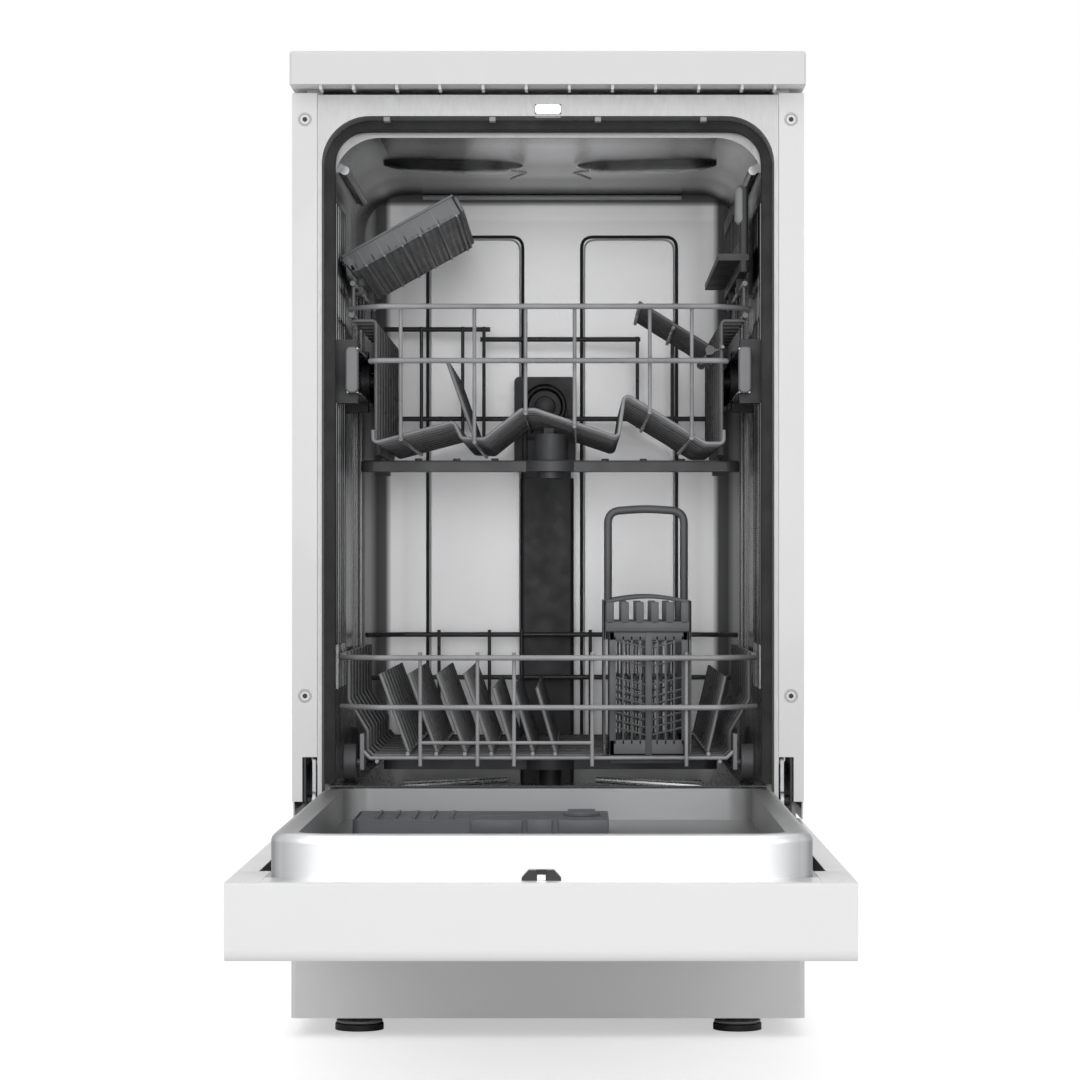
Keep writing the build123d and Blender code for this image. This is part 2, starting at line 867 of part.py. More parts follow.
# Door: dispenser, its detergent chamber under a flap and its rinse aid cap
dispenser_top = recess_floor + 16
tank_bottom = outer_z + 14
chamber_x = (-148, -68)
chamber_y = (dispenser_y[0] + 14, dispenser_y[1] - 14)
chamber_depth = 26
flap_x = (-153, -62)
flap_y = (dispenser_y[0] + 6, dispenser_y[1] - 6)
flap_sheet = 2.5
flap_pin_radius = 0.9
flap_pin_length = 2
flap_side_gap = 1
flap_round = 1.2
flap_seat = dispenser_top - flap_sheet - clearance
pin_x = flap_x[0] + flap_sheet / 2
pin_z = flap_seat + flap_sheet / 2
cap_radius = 15
cap_x = 29
cap_y = (dispenser_y[0] + dispenser_y[1]) / 2
cap_height = 3
cap_stem_radius = 10
cap_stem = 8
with BuildPart() as dispenser_body:
    block(dispenser_x, dispenser_y, (recess_floor + clearance, dispenser_top))
    fillet(dispenser_body.edges().filter_by(Axis.Z), 6)
    inset = dispenser_lip + clearance
    block(
        (dispenser_x[0] + inset, dispenser_x[1] - inset),
        (dispenser_y[0] + inset, dispenser_y[1] - inset),
        (tank_bottom, recess_floor + 1),
    )
    block(
        (flap_x[0] - flap_side_gap, flap_x[1] + clearance),
        (flap_y[0] - clearance, flap_y[1] + clearance),
        (flap_seat - clearance, dispenser_top + overrun),
        mode=Mode.SUBTRACT,
    )
    rod(
        (pin_x, flap_y[0] - flap_pin_length - clearance, pin_z),
        (pin_x, flap_y[1] + flap_pin_length + clearance, pin_z),
        flap_pin_radius + running_fit,
        mode=Mode.SUBTRACT,
    )
    block(chamber_x, chamber_y, (dispenser_top - chamber_depth, dispenser_top), mode=Mode.SUBTRACT)
    block(
        (chamber_x[1] + 6, dispenser_x[1] - inset - plastic),
        (dispenser_y[0] + inset + plastic, dispenser_y[1] - inset - plastic),
        (tank_bottom - overrun, recess_floor - 6),
        mode=Mode.SUBTRACT,
    )
    rod(
        (cap_x, cap_y, recess_floor - 12),
        (cap_x, cap_y, dispenser_top + overrun),
        cap_stem_radius + clearance,
        mode=Mode.SUBTRACT,
    )
write(dispenser_body, "dispenser_body")

with BuildPart() as dispenser_lid:
    block(flap_x, flap_y, (flap_seat, flap_seat + flap_sheet))
    fillet(dispenser_lid.edges().filter_by(Axis.Y).group_by(Axis.X)[0], flap_round)
    rod(
        (pin_x, flap_y[0] - flap_pin_length, pin_z),
        (pin_x, flap_y[1] + flap_pin_length, pin_z),
        flap_pin_radius,
    )
    rib_z = (flap_seat + flap_sheet - 0.5, flap_seat + flap_sheet + 2)
    for i in range(5):
        x = flap_x[0] + 16 + 15 * i
        block((x, x + 2), (flap_y[0] + 8, flap_y[1] - 8), rib_z)
write(dispenser_lid, "dispenser_lid")

with BuildPart() as rinse_aid_cap:
    rod((cap_x, cap_y, dispenser_top + clearance), (cap_x, cap_y, dispenser_top + clearance + cap_height), cap_radius)
    fillet(rinse_aid_cap.edges().group_by(Axis.Z)[-1], 1)
    rod((cap_x, cap_y, dispenser_top - cap_stem), (cap_x, cap_y, dispenser_top + 1), cap_stem_radius)
    grip_top = dispenser_top + clearance + cap_height
    block((cap_x - cap_radius + 4, cap_x + cap_radius - 4), (cap_y - 1.5, cap_y + 1.5), (grip_top - 1, grip_top + 2))
write(rinse_aid_cap, "rinse_aid_cap")

# Water system under the tub: sump, filters, pumps and the inlet valve
sump_bottom = 112
sump_wall = 3
sump_flange = 72
filter_x = 36
filter_y = arm_y - 14
filter_radius = 20
hub_x = 0
hub_outer = 11
hub_inner = 8
hub_top = 218.2
hub_collar = 14
pump_radius = 36
pump_axis_z = 148
volute_length = 34
motor_length = 86
pump_joint_x = -sump_radius - sump_wall - clearance
with BuildPart() as sump:
    sump_top = tub_floor_top - sheet - clearance
    rod((0, arm_y, sump_bottom), (0, arm_y, sump_top), sump_radius + sump_wall)
    rod((0, arm_y, sump_top - sump_wall), (0, arm_y, sump_top), sump_flange)
    rod(
        (0, arm_y, sump_bottom + sump_wall),
        (0, arm_y, sump_top + overrun),
        sump_radius,
        mode=Mode.SUBTRACT,
    )
    rod((hub_x, arm_y, sump_bottom + sump_wall / 2), (hub_x, arm_y, hub_top), hub_outer)
    rod((hub_x, arm_y, sump_bottom + sump_wall), (hub_x, arm_y, hub_top + overrun), hub_inner, mode=Mode.SUBTRACT)
write(sump, "sump")

plate_radius = 78
plate_z = tub_floor_top + clearance
with BuildPart() as filter_plate:
    rod((0, arm_y, plate_z), (0, arm_y, plate_z + sheet), plate_radius)
    rod(
        (hub_x, arm_y, plate_z - overrun),
        (hub_x, arm_y, plate_z + overrun),
        hub_outer + clearance,
        mode=Mode.SUBTRACT,
    )
    rod(
        (filter_x, filter_y, plate_z - overrun),
        (filter_x, filter_y, plate_z + overrun),
        filter_radius + clearance,
        mode=Mode.SUBTRACT,
    )
write(filter_plate, "filter_plate")

filter_bottom = sump_bottom + sump_wall + clearance
filter_collar = 24
filter_collar_height = 3
grip_width = 4
grip_height = 12
with BuildPart() as filter_cup:
    collar_z = plate_z + sheet + clearance
    rod((filter_x, filter_y, filter_bottom), (filter_x, filter_y, collar_z + 1), filter_radius)
    rod(
        (filter_x, filter_y, collar_z),
        (filter_x, filter_y, collar_z + filter_collar_height),
        filter_collar,
    )
    rod(
        (filter_x, filter_y, filter_bottom + sheet),
        (filter_x, filter_y, collar_z + overrun),
        filter_radius - sheet,
        mode=Mode.SUBTRACT,
    )
    with Locations((filter_x, filter_y, collar_z + grip_height / 2)):
        Box(2 * filter_radius, grip_width, grip_height)
write(filter_cup, "filter_cup")

shaft_radius = 4
impeller_radius = 27
impeller_width = 12
with BuildPart() as circulation_pump:
    volute_x = (pump_joint_x - volute_length, pump_joint_x)
    rod((volute_x[0], arm_y, pump_axis_z), (volute_x[1], arm_y, pump_axis_z), pump_radius)
    rod((volute_x[0] - motor_length, arm_y, pump_axis_z), (volute_x[0], arm_y, pump_axis_z), pump_radius - 3)
    rod(
        (volute_x[0] + sump_wall, arm_y, pump_axis_z),
        (volute_x[1] - sump_wall, arm_y, pump_axis_z),
        pump_radius - sump_wall,
        mode=Mode.SUBTRACT,
    )
    rod(
        (volute_x[1] - 2 * sump_wall, arm_y, pump_axis_z),
        (volute_x[1] + overrun, arm_y, pump_axis_z),
        2.5 * shaft_radius,
        mode=Mode.SUBTRACT,
    )
    rod(
        (volute_x[0] - sump_wall, arm_y, pump_axis_z),
        (volute_x[0] + 4 * sump_wall, arm_y, pump_axis_z),
        shaft_radius,
    )
write(circulation_pump, "circulation_pump")

with BuildPart() as pump_impeller:
    impeller_x = volute_x[0] + sump_wall + 4
    rod((impeller_x, arm_y, pump_axis_z), (impeller_x + 2, arm_y, pump_axis_z), impeller_radius)
    rod((impeller_x, arm_y, pump_axis_z), (impeller_x + impeller_width, arm_y, pump_axis_z), 2 * shaft_radius)
    with BuildSketch(Plane.YZ.offset(impeller_x + 1)):
        with Locations((arm_y, pump_axis_z)):
            with PolarLocations(0.6 * impeller_radius, 7):
                Rectangle(0.7 * impeller_radius, 2)
    extrude(amount=impeller_width - 1)
    rod(
        (impeller_x - overrun, arm_y, pump_axis_z),
        (impeller_x + impeller_width + overrun, arm_y, pump_axis_z),
        shaft_radius + running_fit,
        mode=Mode.SUBTRACT,
    )
write(pump_impeller, "pump_impeller")

drain_radius = 26
drain_length = 70
drain_z = 142
hose_y = back_y - 2
spigot_outer = 9.5
spigot_inner = 7.5
spigot_length = 30
drain_pipe_radius = 8.7
drain_x = sump_radius + sump_wall + clearance
spigot_x = drain_x + drain_length / 2
with BuildPart() as drain_pump:
    rod((drain_x, arm_y, drain_z), (drain_x + drain_length, arm_y, drain_z), drain_radius)
    rod((spigot_x, arm_y, drain_z), (spigot_x, hose_y - spigot_length, drain_z), drain_pipe_radius)
    rod((spigot_x, hose_y - spigot_length, drain_z), (spigot_x, hose_y, drain_z), spigot_outer)
    rod(
        (spigot_x, arm_y + drain_radius, drain_z),
        (spigot_x, hose_y + overrun, drain_z),
        spigot_inner,
        mode=Mode.SUBTRACT,
    )
write(drain_pump, "drain_pump")

valve_x = -120
valve_z = 80
valve_half = 20
nipple_radius = 13.2
nipple_bore = 9
nipple_length = 16
valve_back = hose_y - nipple_length
with BuildPart() as inlet_valve:
    block(
        (valve_x - valve_half, valve_x + valve_half),
        (tray_back + clearance, valve_back),
        (valve_z - valve_half, valve_z + valve_half),
    )
    rod((valve_x, valve_back, valve_z), (valve_x, hose_y, valve_z), nipple_radius)
    rod(
        (valve_x, tray_back + plastic, valve_z),
        (valve_x, hose_y + overrun, valve_z),
        nipple_bore,
        mode=Mode.SUBTRACT,
    )
write(inlet_valve, "inlet_valve")

break_y = (front_y + 290, front_y + 470)
break_z = (330, 620)
break_depth = 20
break_wall = 2
break_x = -tub_half_width - sheet - clearance
with BuildPart() as air_break:
    block((break_x - break_depth, break_x), break_y, break_z)
    block(
        (break_x - break_depth + break_wall, break_x + overrun),
        (break_y[0] + break_wall, break_y[1] - break_wall),
        (break_z[0] + break_wall, break_z[1] - break_wall),
        mode=Mode.SUBTRACT,
    )
    for i in range(3):
        z = break_z[0] + (break_z[1] - break_z[0]) * (i + 1) / 4
        block((break_x - break_depth + 1, break_x), (break_y[0] + 1, break_y[1] - 30), (z, z + break_wall))
write(air_break, "air_break")

# Tub fittings: riser duct on the back wall, the docking for the upper feed pipe, the rail guides
duct_x = (-32, 22)
duct_front = front_y + 490
duct_back = tub_back_y - bead_rise - clearance
duct_top = 500
duct_wall = 3
with BuildPart() as rear_duct:
    block(duct_x, (duct_front, duct_back), (tub_floor_top + clearance, duct_top))
    fillet(rear_duct.edges().filter_by(Axis.Z).group_by(Axis.Y)[0], 4)
    block(
        (duct_x[0] + duct_wall, duct_x[1] - duct_wall),
        (duct_front + duct_wall, duct_back - duct_wall),
        (tub_floor_top - overrun, duct_top + overrun),
        mode=Mode.SUBTRACT,
    )
write(rear_duct, "rear_duct")

feed_z = 526
feed_radius = 10
feed_bore = 8
dock_x = (-38, 24)
dock_z = (508, 602)
dock_front = front_y + 478
dock_port = 13
arch_radius = 22
with BuildPart() as duct_docking:
    block(dock_x, (dock_front, duct_back), dock_z)
    fillet(duct_docking.edges().filter_by(Axis.Y).group_by(Axis.Z)[-1], 5)
    collar_z = (duct_top + clearance, dock_z[0] + 1)
    block((duct_x[0] + duct_wall, duct_x[1] - duct_wall), (duct_front, duct_back), collar_z)
    rod((0, dock_front - overrun, feed_z), (0, duct_back - plastic, feed_z), dock_port - plastic, mode=Mode.SUBTRACT)
    with BuildSketch(facing(dock_front)):
        with Locations((dock_x[0] + 32, dock_z[1] - arch_radius - 8)):
            Circle(arch_radius)
            Circle(arch_radius - 4, mode=Mode.SUBTRACT)
    extrude(amount=3)
write(duct_docking, "duct_docking")

rail_x = (169, 179)
rail_z = (564, 604)
rail_y = (front_y + 45, front_y + 465)
rail_sheet = 1.5
guide_rows = (front_y + 60, front_y + 230)
guide_length = 24
guide_jaw = 8
with BuildPart() as roller_brackets:
    for side in (-1, 1):
        for y in guide_rows:
            rows = (y, y + guide_length)
            back = sorted((side * (rail_x[1] + clearance), side * (tub_half_width - clearance)))
            jaw = sorted((side * (rail_x[0] + 2), side * (rail_x[1] + 1)))
            jaw_out = guide_jaw + clearance
            block(back, rows, (rail_z[0] - jaw_out, rail_z[1] + jaw_out))
            block(jaw, rows, (rail_z[1] + clearance, rail_z[1] + jaw_out))
            block(jaw, rows, (rail_z[0] - jaw_out, rail_z[0] - clearance))
write(roller_brackets, "roller_brackets")

with BuildPart() as upper_rails:
    for side in (-1, 1):
        web = sorted((side * (rail_x[1] - rail_sheet), side * rail_x[1]))
        full = sorted((side * rail_x[0], side * rail_x[1]))
        block(web, rail_y, rail_z)
        block(full, rail_y, (rail_z[0], rail_z[0] + rail_sheet))
        block(full, rail_y, (rail_z[1] - rail_sheet, rail_z[1]))
write(upper_rails, "upper_rails")

cap_length = 12
cap_margin = 0.5
with BuildPart() as rail_caps:
    for side in (-1, 1):
        cap_x_range = sorted((side * (rail_x[0] - cap_margin), side * (rail_x[1] + cap_margin)))
        block(
            cap_x_range,
            (rail_y[0] - cap_length, rail_y[0]),
            (rail_z[0] - cap_margin, rail_z[1] + cap_margin),
        )
    fillet(rail_caps.edges().filter_by(Axis.Y), 4.5)
    fillet(rail_caps.faces().group_by(Axis.Y)[0].edges(), 2)
write(rail_caps, "rail_caps")

# Upper basket: welded wires. The floor is folded like a roof for glasses and bowls.
basket_side = 155.5
basket_floor = 519
basket_flare_z = 631
basket_flare_x = 174
upper_front = front_y + 34
upper_rear = front_y + 465
upper_rail_z = (640, 592)
rail_straight = 150
rail_end = (177, 29)
low_rail_end = (158, 8)
upper_bars = (-130.8, -65.5, -20.2, 23.2, 89.8, 127)
weld = 0.5
bar_y = upper_front + rail_radius + wire_radius - weld
row_count = 10
first_row = bar_y + 2 * wire_radius + clearance
rear_bar_y = upper_rear - rail_radius - wire_radius + weld
last_row = rear_bar_y - 2 * wire_radius - clearance
row_pitch = (last_row - first_row) / (row_count - 1)
upper_rows = [first_row + row_pitch * i for i in range(row_count)]
floor_profile = [
    (-basket_side, basket_floor),
    (-84, 538),
    (-77, 523.5),
    (-57, 522.7),
    (-24, 548.8),
    (-12, 548.8),
    (62, 524),
    (67.5, 563),
    (139.6, basket_floor),
    (basket_side, basket_floor),
]
split_z = basket_floor + 12
floor_cuts = (-70, -18, 56)
rail_cut = rail_straight - 6
rail_cuts = (-rail_cut, rail_cut)


def height_at(x):
    # The height of the folded floor at x
    for (x0, z0), (x1, z1) in zip(floor_profile, floor_profile[1:]):
        if x0 <= x <= x1:
            return z0 + (z1 - z0) * (x - x0) / (x1 - x0)


with BuildPart() as floor_wire:
    ends = [(-basket_side, split_z), (basket_side, split_z)]
    bent_wire([(x, 0, z) for x, z in [ends[0], *floor_profile, ends[1]]], wire_radius)

with BuildPart() as side_wire:
    bent_wire(
        [
            (basket_side, 0, split_z + clearance),
            (basket_side, 0, basket_flare_z),
            (basket_flare_x + 2, 0, basket_flare_z),
        ],
        wire_radius,
    )

with BuildPart() as upper_floor:
    with Locations(*[(0, y, 0) for y in upper_rows]):
        add(floor_wire.part)
    for x in upper_bars:
        z = height_at(x) - 2 * wire_radius + weld
        rod((x, first_row - wire_radius, z), (x, last_row + wire_radius, z), wire_radius)
    cut_across(floor_cuts, (upper_front, upper_rear), (basket_floor - overrun, upper_rail_z[1]))

with BuildPart() as upper_front_grille:
    for z, (end_x, end_back) in zip(upper_rail_z, (rail_end, low_rail_end)):
        straight = min(rail_straight, end_x - end_back)
        points = [
            (-end_x, upper_front + end_back, z),
            (-straight, upper_front, z),
            (straight, upper_front, z),
            (end_x, upper_front + end_back, z),
        ]
        bent_wire(points, rail_radius, 3 * bend)
    for x in upper_bars:
        low = height_at(x) - wire_radius
        rod((x, bar_y, low), (x, bar_y, upper_rail_z[0] + rail_radius), wire_radius)
    cut_across(
        rail_cuts, (upper_front - overrun, upper_front + overrun), (basket_floor, upper_rail_z[0] + overrun)
    )

rear_bars = (-131, -89.5, -68.2, 86, 121)
rear_rails = [(-169, -62, 649), (-72, 89, 639), (-155, 155, 559)]
with BuildPart() as upper_rear_grille:
    for x0, x1, z in rear_rails:
        rod((x0, upper_rear, z), (x1, upper_rear, z), rail_radius)
    for x in rear_bars:
        top = 649 if x < -62 else 639
        rod((x, rear_bar_y, height_at(x) - wire_radius), (x, rear_bar_y, top + rail_radius), wire_radius)

side_rail_z = basket_flare_z + wire_radius + rail_radius - weld
hook_rod_z = 664
hook_rod_x = basket_flare_x + 2
hook_rows = (front_y + 90, front_y + 240, front_y + 390)
hook_span = (front_y + 80, front_y + 400)
cup_pivot = (146, 606)
cup_eye = 4.2
cup_eye_width = 3
cup_span = (front_y + 110, front_y + 346)


def upper_side(side):
    with BuildPart() as grille:
        with Locations(*[(0, y, 0) for y in upper_rows[1:]]):
            add(side_wire.part if side > 0 else side_wire.part.mirror(Plane.YZ))
        x = side * hook_rod_x
        rod((x, upper_front + rail_end[1] + 3, side_rail_z), (x, upper_rear, side_rail_z), rail_radius)
        rod((x, hook_span[0], hook_rod_z), (x, hook_span[1], hook_rod_z), rail_radius)
        for y in hook_rows:
            rod((x, y, side_rail_z), (x, y, hook_rod_z), wire_radius)
        if side > 0:
            for y in cup_span:
                rod((cup_pivot[0], y - cup_eye_width, cup_pivot[1]), (cup_pivot[0], y, cup_pivot[1]), cup_eye)
                middle = y - cup_eye_width / 2
                wall = basket_side
                block((cup_pivot[0], wall), (middle - 1, middle + 1), (cup_pivot[1] - 1, cup_pivot[1] + 1))
                rod((wall, middle - row_pitch, cup_pivot[1]), (wall, middle + row_pitch, cup_pivot[1]), 1.5)
                rod(
                    (cup_pivot[0], y - overrun, cup_pivot[1]),
                    (cup_pivot[0], y + overrun, cup_pivot[1]),
                    wire_radius + running_fit,
                    mode=Mode.SUBTRACT,
                )
    return grille


left_side = upper_side(-1)
right_side = upper_side(1)
with BuildPart() as upper_basket_frame:
    add(
        [
            grille.part
            for grille in (upper_floor, upper_front_grille, upper_rear_grille, left_side, right_side)
        ]
    )
write(upper_basket_frame, "upper_basket_frame")

# Upper basket: side plates with rollers that run in the rails
plate_y = (front_y + 200, front_y + 455)
adjuster_sheet = 4
plate_inner = basket_side + wire_radius + clearance
plate_outer = plate_inner + adjuster_sheet
adjuster_z = (514, 624)
adjuster_lobe = 15
lobe_y = (front_y + 345, front_y + 375)
lobe_reach = 10
roller_gap = 0.4
roller_radius = (rail_z[1] - rail_z[0]) / 2 - rail_sheet - roller_gap
roller_x = (rail_x[0] + roller_gap, rail_x[1] - rail_sheet - roller_gap)
roller_rows = (front_y + 240, front_y + 430)
roller_z = (rail_z[0] + rail_z[1]) / 2
roller_hub = 6
with BuildPart() as height_adjusters:
    for side in (-1, 1):
        block(sorted((side * plate_inner, side * plate_outer)), plate_y, adjuster_z)
        lobe_z = (adjuster_z[0] - adjuster_lobe, adjuster_z[0] + adjuster_sheet)
        block(sorted((side * plate_inner, side * (plate_outer + lobe_reach))), lobe_y, lobe_z)
        for y in roller_rows:
            rod((side * plate_inner, y, roller_z), (side * roller_x[1], y, roller_z), roller_hub)
            rod((side * roller_x[0], y, roller_z), (side * roller_x[1], y, roller_z), roller_radius)
write(height_adjusters, "height_adjusters")

# Upper basket: feed pipe, its hub and the nut that holds the spray arm
upper_arm_y = front_y + 245
upper_arm_z = (499.5, 510)
hub_radius = 15
spigot_radius = 7
nut_radius = 12
saddle_x = (-6, 3)
saddle_length = 8
saddle_rows = (upper_rows[5], upper_rows[8])
hub_cap = 9
nut_height = 6
port_length = 8
with BuildPart() as upper_feed_pipe:
    pipe_end = dock_front - clearance
    spigot_end = upper_arm_z[0] - nut_height
    rod((0, upper_arm_y, feed_z), (0, pipe_end, feed_z), feed_radius)
    rod((0, pipe_end - port_length, feed_z), (0, pipe_end, feed_z), dock_port)
    rod((0, upper_arm_y, upper_arm_z[1] + clearance), (0, upper_arm_y, feed_z + hub_cap), hub_radius)
    rod((0, upper_arm_y, spigot_end), (0, upper_arm_y, feed_z), spigot_radius)
    rod((0, upper_arm_y, spigot_end), (0, upper_arm_y, upper_arm_z[0] - clearance), nut_radius)
    saddle_top = height_at(saddle_x[1]) - wire_radius - clearance
    for y in saddle_rows:
        block(saddle_x, (y - saddle_length / 2, y + saddle_length / 2), (feed_z, saddle_top))
    rod((0, upper_arm_y, feed_z), (0, dock_front + overrun, feed_z), feed_bore, mode=Mode.SUBTRACT)
write(upper_feed_pipe, "upper_feed_pipe")

arm_reach = 178.5
arm_tip_width = 26
arm_hub = 26
nozzle_radius = 3.5
nozzle_rise = 2
nozzle_spots = (52, 88, 124, 158)
# the lower arm turns between the wheel carriers of the lower basket
lower_arm_reach = 158
lower_nozzle_spots = (48, 80, 112, 142)


def spray_arm(y, z, bore, reach, spots):
    with BuildPart() as arm:
        with BuildSketch(Plane.XY.offset(z[0])) as outline:
            with Locations((0, y)):
                SlotOverall(2 * reach, arm_tip_width)
                Circle(arm_hub)
        extrude(outline.sketch, amount=z[1] - z[0])
        fillet(arm.edges().group_by(Axis.Z)[-1], 2)
        for side in (-1, 1):
            for x in spots:
                rod((side * x, y + 4 * side, z[1] - 1), (side * x, y + 4 * side, z[1] + nozzle_rise), nozzle_radius)
        if bore:
            rod((0, y, z[0] - overrun), (0, y, z[1] + overrun), bore, mode=Mode.SUBTRACT)
        else:
            rod((0, y, z[0] - 20), (0, y, z[0] + 1), hub_inner - running_fit)
    return arm


upper_arm_bore = spigot_radius + running_fit
write(spray_arm(upper_arm_y, upper_arm_z, upper_arm_bore, arm_reach, nozzle_spots), "upper_spray_arm")
lower_arm_z = (hub_top + clearance, hub_top + clearance + 11)
write(spray_arm(arm_y, lower_arm_z, 0, lower_arm_reach, lower_nozzle_spots), "lower_spray_arm")

# Upper basket: row of tines that folds to the left
tine_rod = (-67, height_at(-67) + 2 * wire_radius + clearance)
tine_length = 72
tine_lean = 19.5
with BuildPart() as upper_tines:
    x, z = tine_rod
    rod((x, upper_rows[0], z), (x, upper_rows[-1], z), wire_radius)
    tip = Vector(0, 0, tine_length).rotate(Axis.Y, -tine_lean)
    for y0, y1 in zip(upper_rows, upper_rows[1:]):
        y = (y0 + y1) / 2
        rod((x, y, z), (x + tip.X, y, z + tip.Z), tine_radius)
write(upper_tines, "upper_tines")

# Upper left: cutlery tray, tilted, clipped round the rod on the basket's side
tray_tilt = 29
tray_length = 112
tray_deep = (front_y + 72, front_y + 408)
tray_height = 19
tray_wall = 2
tray_gap = 8
tray_cells = 8
tray_rib_share = 0.35
clip_radius = 5.5
clip_width = 12
clip_rows = (front_y + 150, front_y + 310)
tray_corner = Vector(-hook_rod_x, 0, hook_rod_z + tray_gap)
along = Vector(1, 0, 0).rotate(Axis.Y, -tray_tilt)
upward = Vector(0, 0, 1).rotate(Axis.Y, -tray_tilt)
tray_plane = Plane(origin=tray_corner, x_dir=along, z_dir=upward)
with BuildPart() as cutlery_tray:
    tray_y = (tray_deep[0] + tray_deep[1]) / 2
    tray_span = tray_deep[1] - tray_deep[0]
    with BuildSketch(tray_plane):
        with Locations((tray_length / 2, tray_y)):
            RectangleRounded(tray_length, tray_span, 6)
    extrude(amount=tray_height)
    with BuildSketch(tray_plane.offset(tray_wall)):
        with Locations((tray_length / 2, tray_y)):
            RectangleRounded(tray_length - 2 * tray_wall, tray_span - 2 * tray_wall, 4)
    extrude(amount=tray_height, mode=Mode.SUBTRACT)
    with BuildSketch(tray_plane.offset(-overrun)):
        with Locations((tray_length / 2, tray_y)):
            with GridLocations(tray_length / 5, tray_span / 11, 4, 10):
                Rectangle(14, 20)
    extrude(amount=2 * overrun, mode=Mode.SUBTRACT)
    with BuildSketch(tray_plane.offset(tray_wall / 2)):
        with Locations((tray_length / 2, tray_y)):
            with GridLocations(0, tray_span / tray_cells, 1, tray_cells - 1):
                Rectangle(tray_length - tray_wall, tray_wall)
    extrude(amount=tray_rib_share * tray_height)
    for y in clip_rows:
        rod((-hook_rod_x, y, hook_rod_z), (-hook_rod_x, y + clip_width, hook_rod_z), clip_radius)
        clip_top = hook_rod_z + tray_gap + 3
        block((-hook_rod_x - 1, -hook_rod_x + 5), (y, y + clip_width), (hook_rod_z + 3, clip_top))
        rod(
            (-hook_rod_x, y - overrun, hook_rod_z),
            (-hook_rod_x, y + clip_width + overrun, hook_rod_z),
            rail_radius + running_fit,
            mode=Mode.SUBTRACT,
        )
write(cutlery_tray, "cutlery_tray")

# Upper right: cup shelf, folded up against the wall and clipped round its rod
shelf_x = (hook_rod_x - 5, hook_rod_x + 3)
shelf_z = (hook_rod_z + 10, hook_rod_z + 86)
shelf_foot_x = 152
shelf_foot_height = 6
with BuildPart() as cup_shelf:
    block(shelf_x, tray_deep, shelf_z)
    fillet(cup_shelf.edges().filter_by(Axis.Z), 3)
    block((shelf_foot_x, shelf_x[1]), tray_deep, (shelf_z[0] + 10, shelf_z[0] + 10 + shelf_foot_height))
    with BuildSketch(Plane.YZ.offset(shelf_x[0] - overrun)):
        with Locations((tray_y, shelf_z[1] - 30)):
            with GridLocations(tray_span / 11, 0, 10, 1):
                RectangleRounded(20, 34, 4)
    extrude(amount=4 * overrun, mode=Mode.SUBTRACT)
    for y in clip_rows:
        rod((hook_rod_x, y, hook_rod_z), (hook_rod_x, y + clip_width, hook_rod_z), clip_radius)
        block((hook_rod_x - 4, hook_rod_x + 2), (y, y + clip_width), (hook_rod_z + 3, shelf_z[0] + 1))
        rod(
            (hook_rod_x, y - overrun, hook_rod_z),
            (hook_rod_x, y + clip_width + overrun, hook_rod_z),
            rail_radius + running_fit,
            mode=Mode.SUBTRACT,
        )
write(cup_shelf, "cup_shelf")

# Upper right: wire cup rack that folds up on its pivot rod
rack_wires = 13
rack_slope = 32
rack_length = 78
rack_rod_shares = (0, 0.5, 0.97)
rack_margin = 2
rack_overhang = 6
with BuildPart() as wire_cup_rack:
    px, pz = cup_pivot
    reach = Vector(-rack_length, 0, 0).rotate(Axis.Y, rack_slope)
    lift = Vector(0, 0, wire_radius + tine_radius - weld).rotate(Axis.Y, rack_slope)
    span = (cup_span[0] + rack_margin, cup_span[1] - cup_eye_width - rack_margin)
    for share in rack_rod_shares:
        x = px + share * reach.X
        z = pz + share * reach.Z
        longer = rack_overhang if share == 0 else 0
        rod((x, span[0] - longer, z), (x, span[1] + longer, z), wire_radius)
    first = span[0] + 2 * tine_radius
    pitch = (span[1] - span[0] - 4 * tine_radius) / (rack_wires - 1)
    for i in range(rack_wires):
        start = Vector(px, first + i * pitch, pz) + lift
        rod(start, start + reach, tine_radius)
write(wire_cup_rack, "wire_cup_rack")

# Lower basket: welded wires on four wheels
lower_front = front_y + 34
lower_rear = front_y + 470
lower_floor_z = 240
lower_side = (180, 163)
lower_knee = (333, 290, 262, 247)
lower_rail_z = (329, 285)
lower_rear_rail_z = (342, 299)
lower_rail_end = (185, 29)
lower_bars = (-113.5, -62.8, -30.4, 38.7, 122.3)
lower_bar_y = lower_front + rail_radius + wire_radius - weld
lower_first = lower_bar_y + 2 * wire_radius + clearance
lower_last = lower_rear - rail_radius - 3 * wire_radius + weld - clearance
lower_pitch = (lower_last - lower_first) / (row_count - 1)
lower_rows = [lower_first + lower_pitch * i for i in range(row_count)]
lower_turn = 5
hook_depth = 7
bridge_z = 253.6

with BuildPart() as lower_floor_wire:
    edge = lower_side[1]
    corner = edge - lower_turn
    bent_wire(
        [
            (-edge, 0, lower_knee[3] - clearance),
            (-edge, 0, lower_floor_z + lower_turn),
            (-corner, 0, lower_floor_z),
            (corner, 0, lower_floor_z),
            (edge, 0, lower_floor_z + lower_turn),
            (edge, 0, lower_knee[3] - clearance),
        ],
        wire_radius,
        2,
    )

with BuildPart() as lower_side_wire:
    bent_wire(
        [
            (lower_side[0], 0, lower_knee[0]),
            (lower_side[0], 0, lower_knee[1]),
            (lower_side[1], 0, lower_knee[2]),
            (lower_side[1], 0, lower_knee[3]),
        ],
        wire_radius,
    )

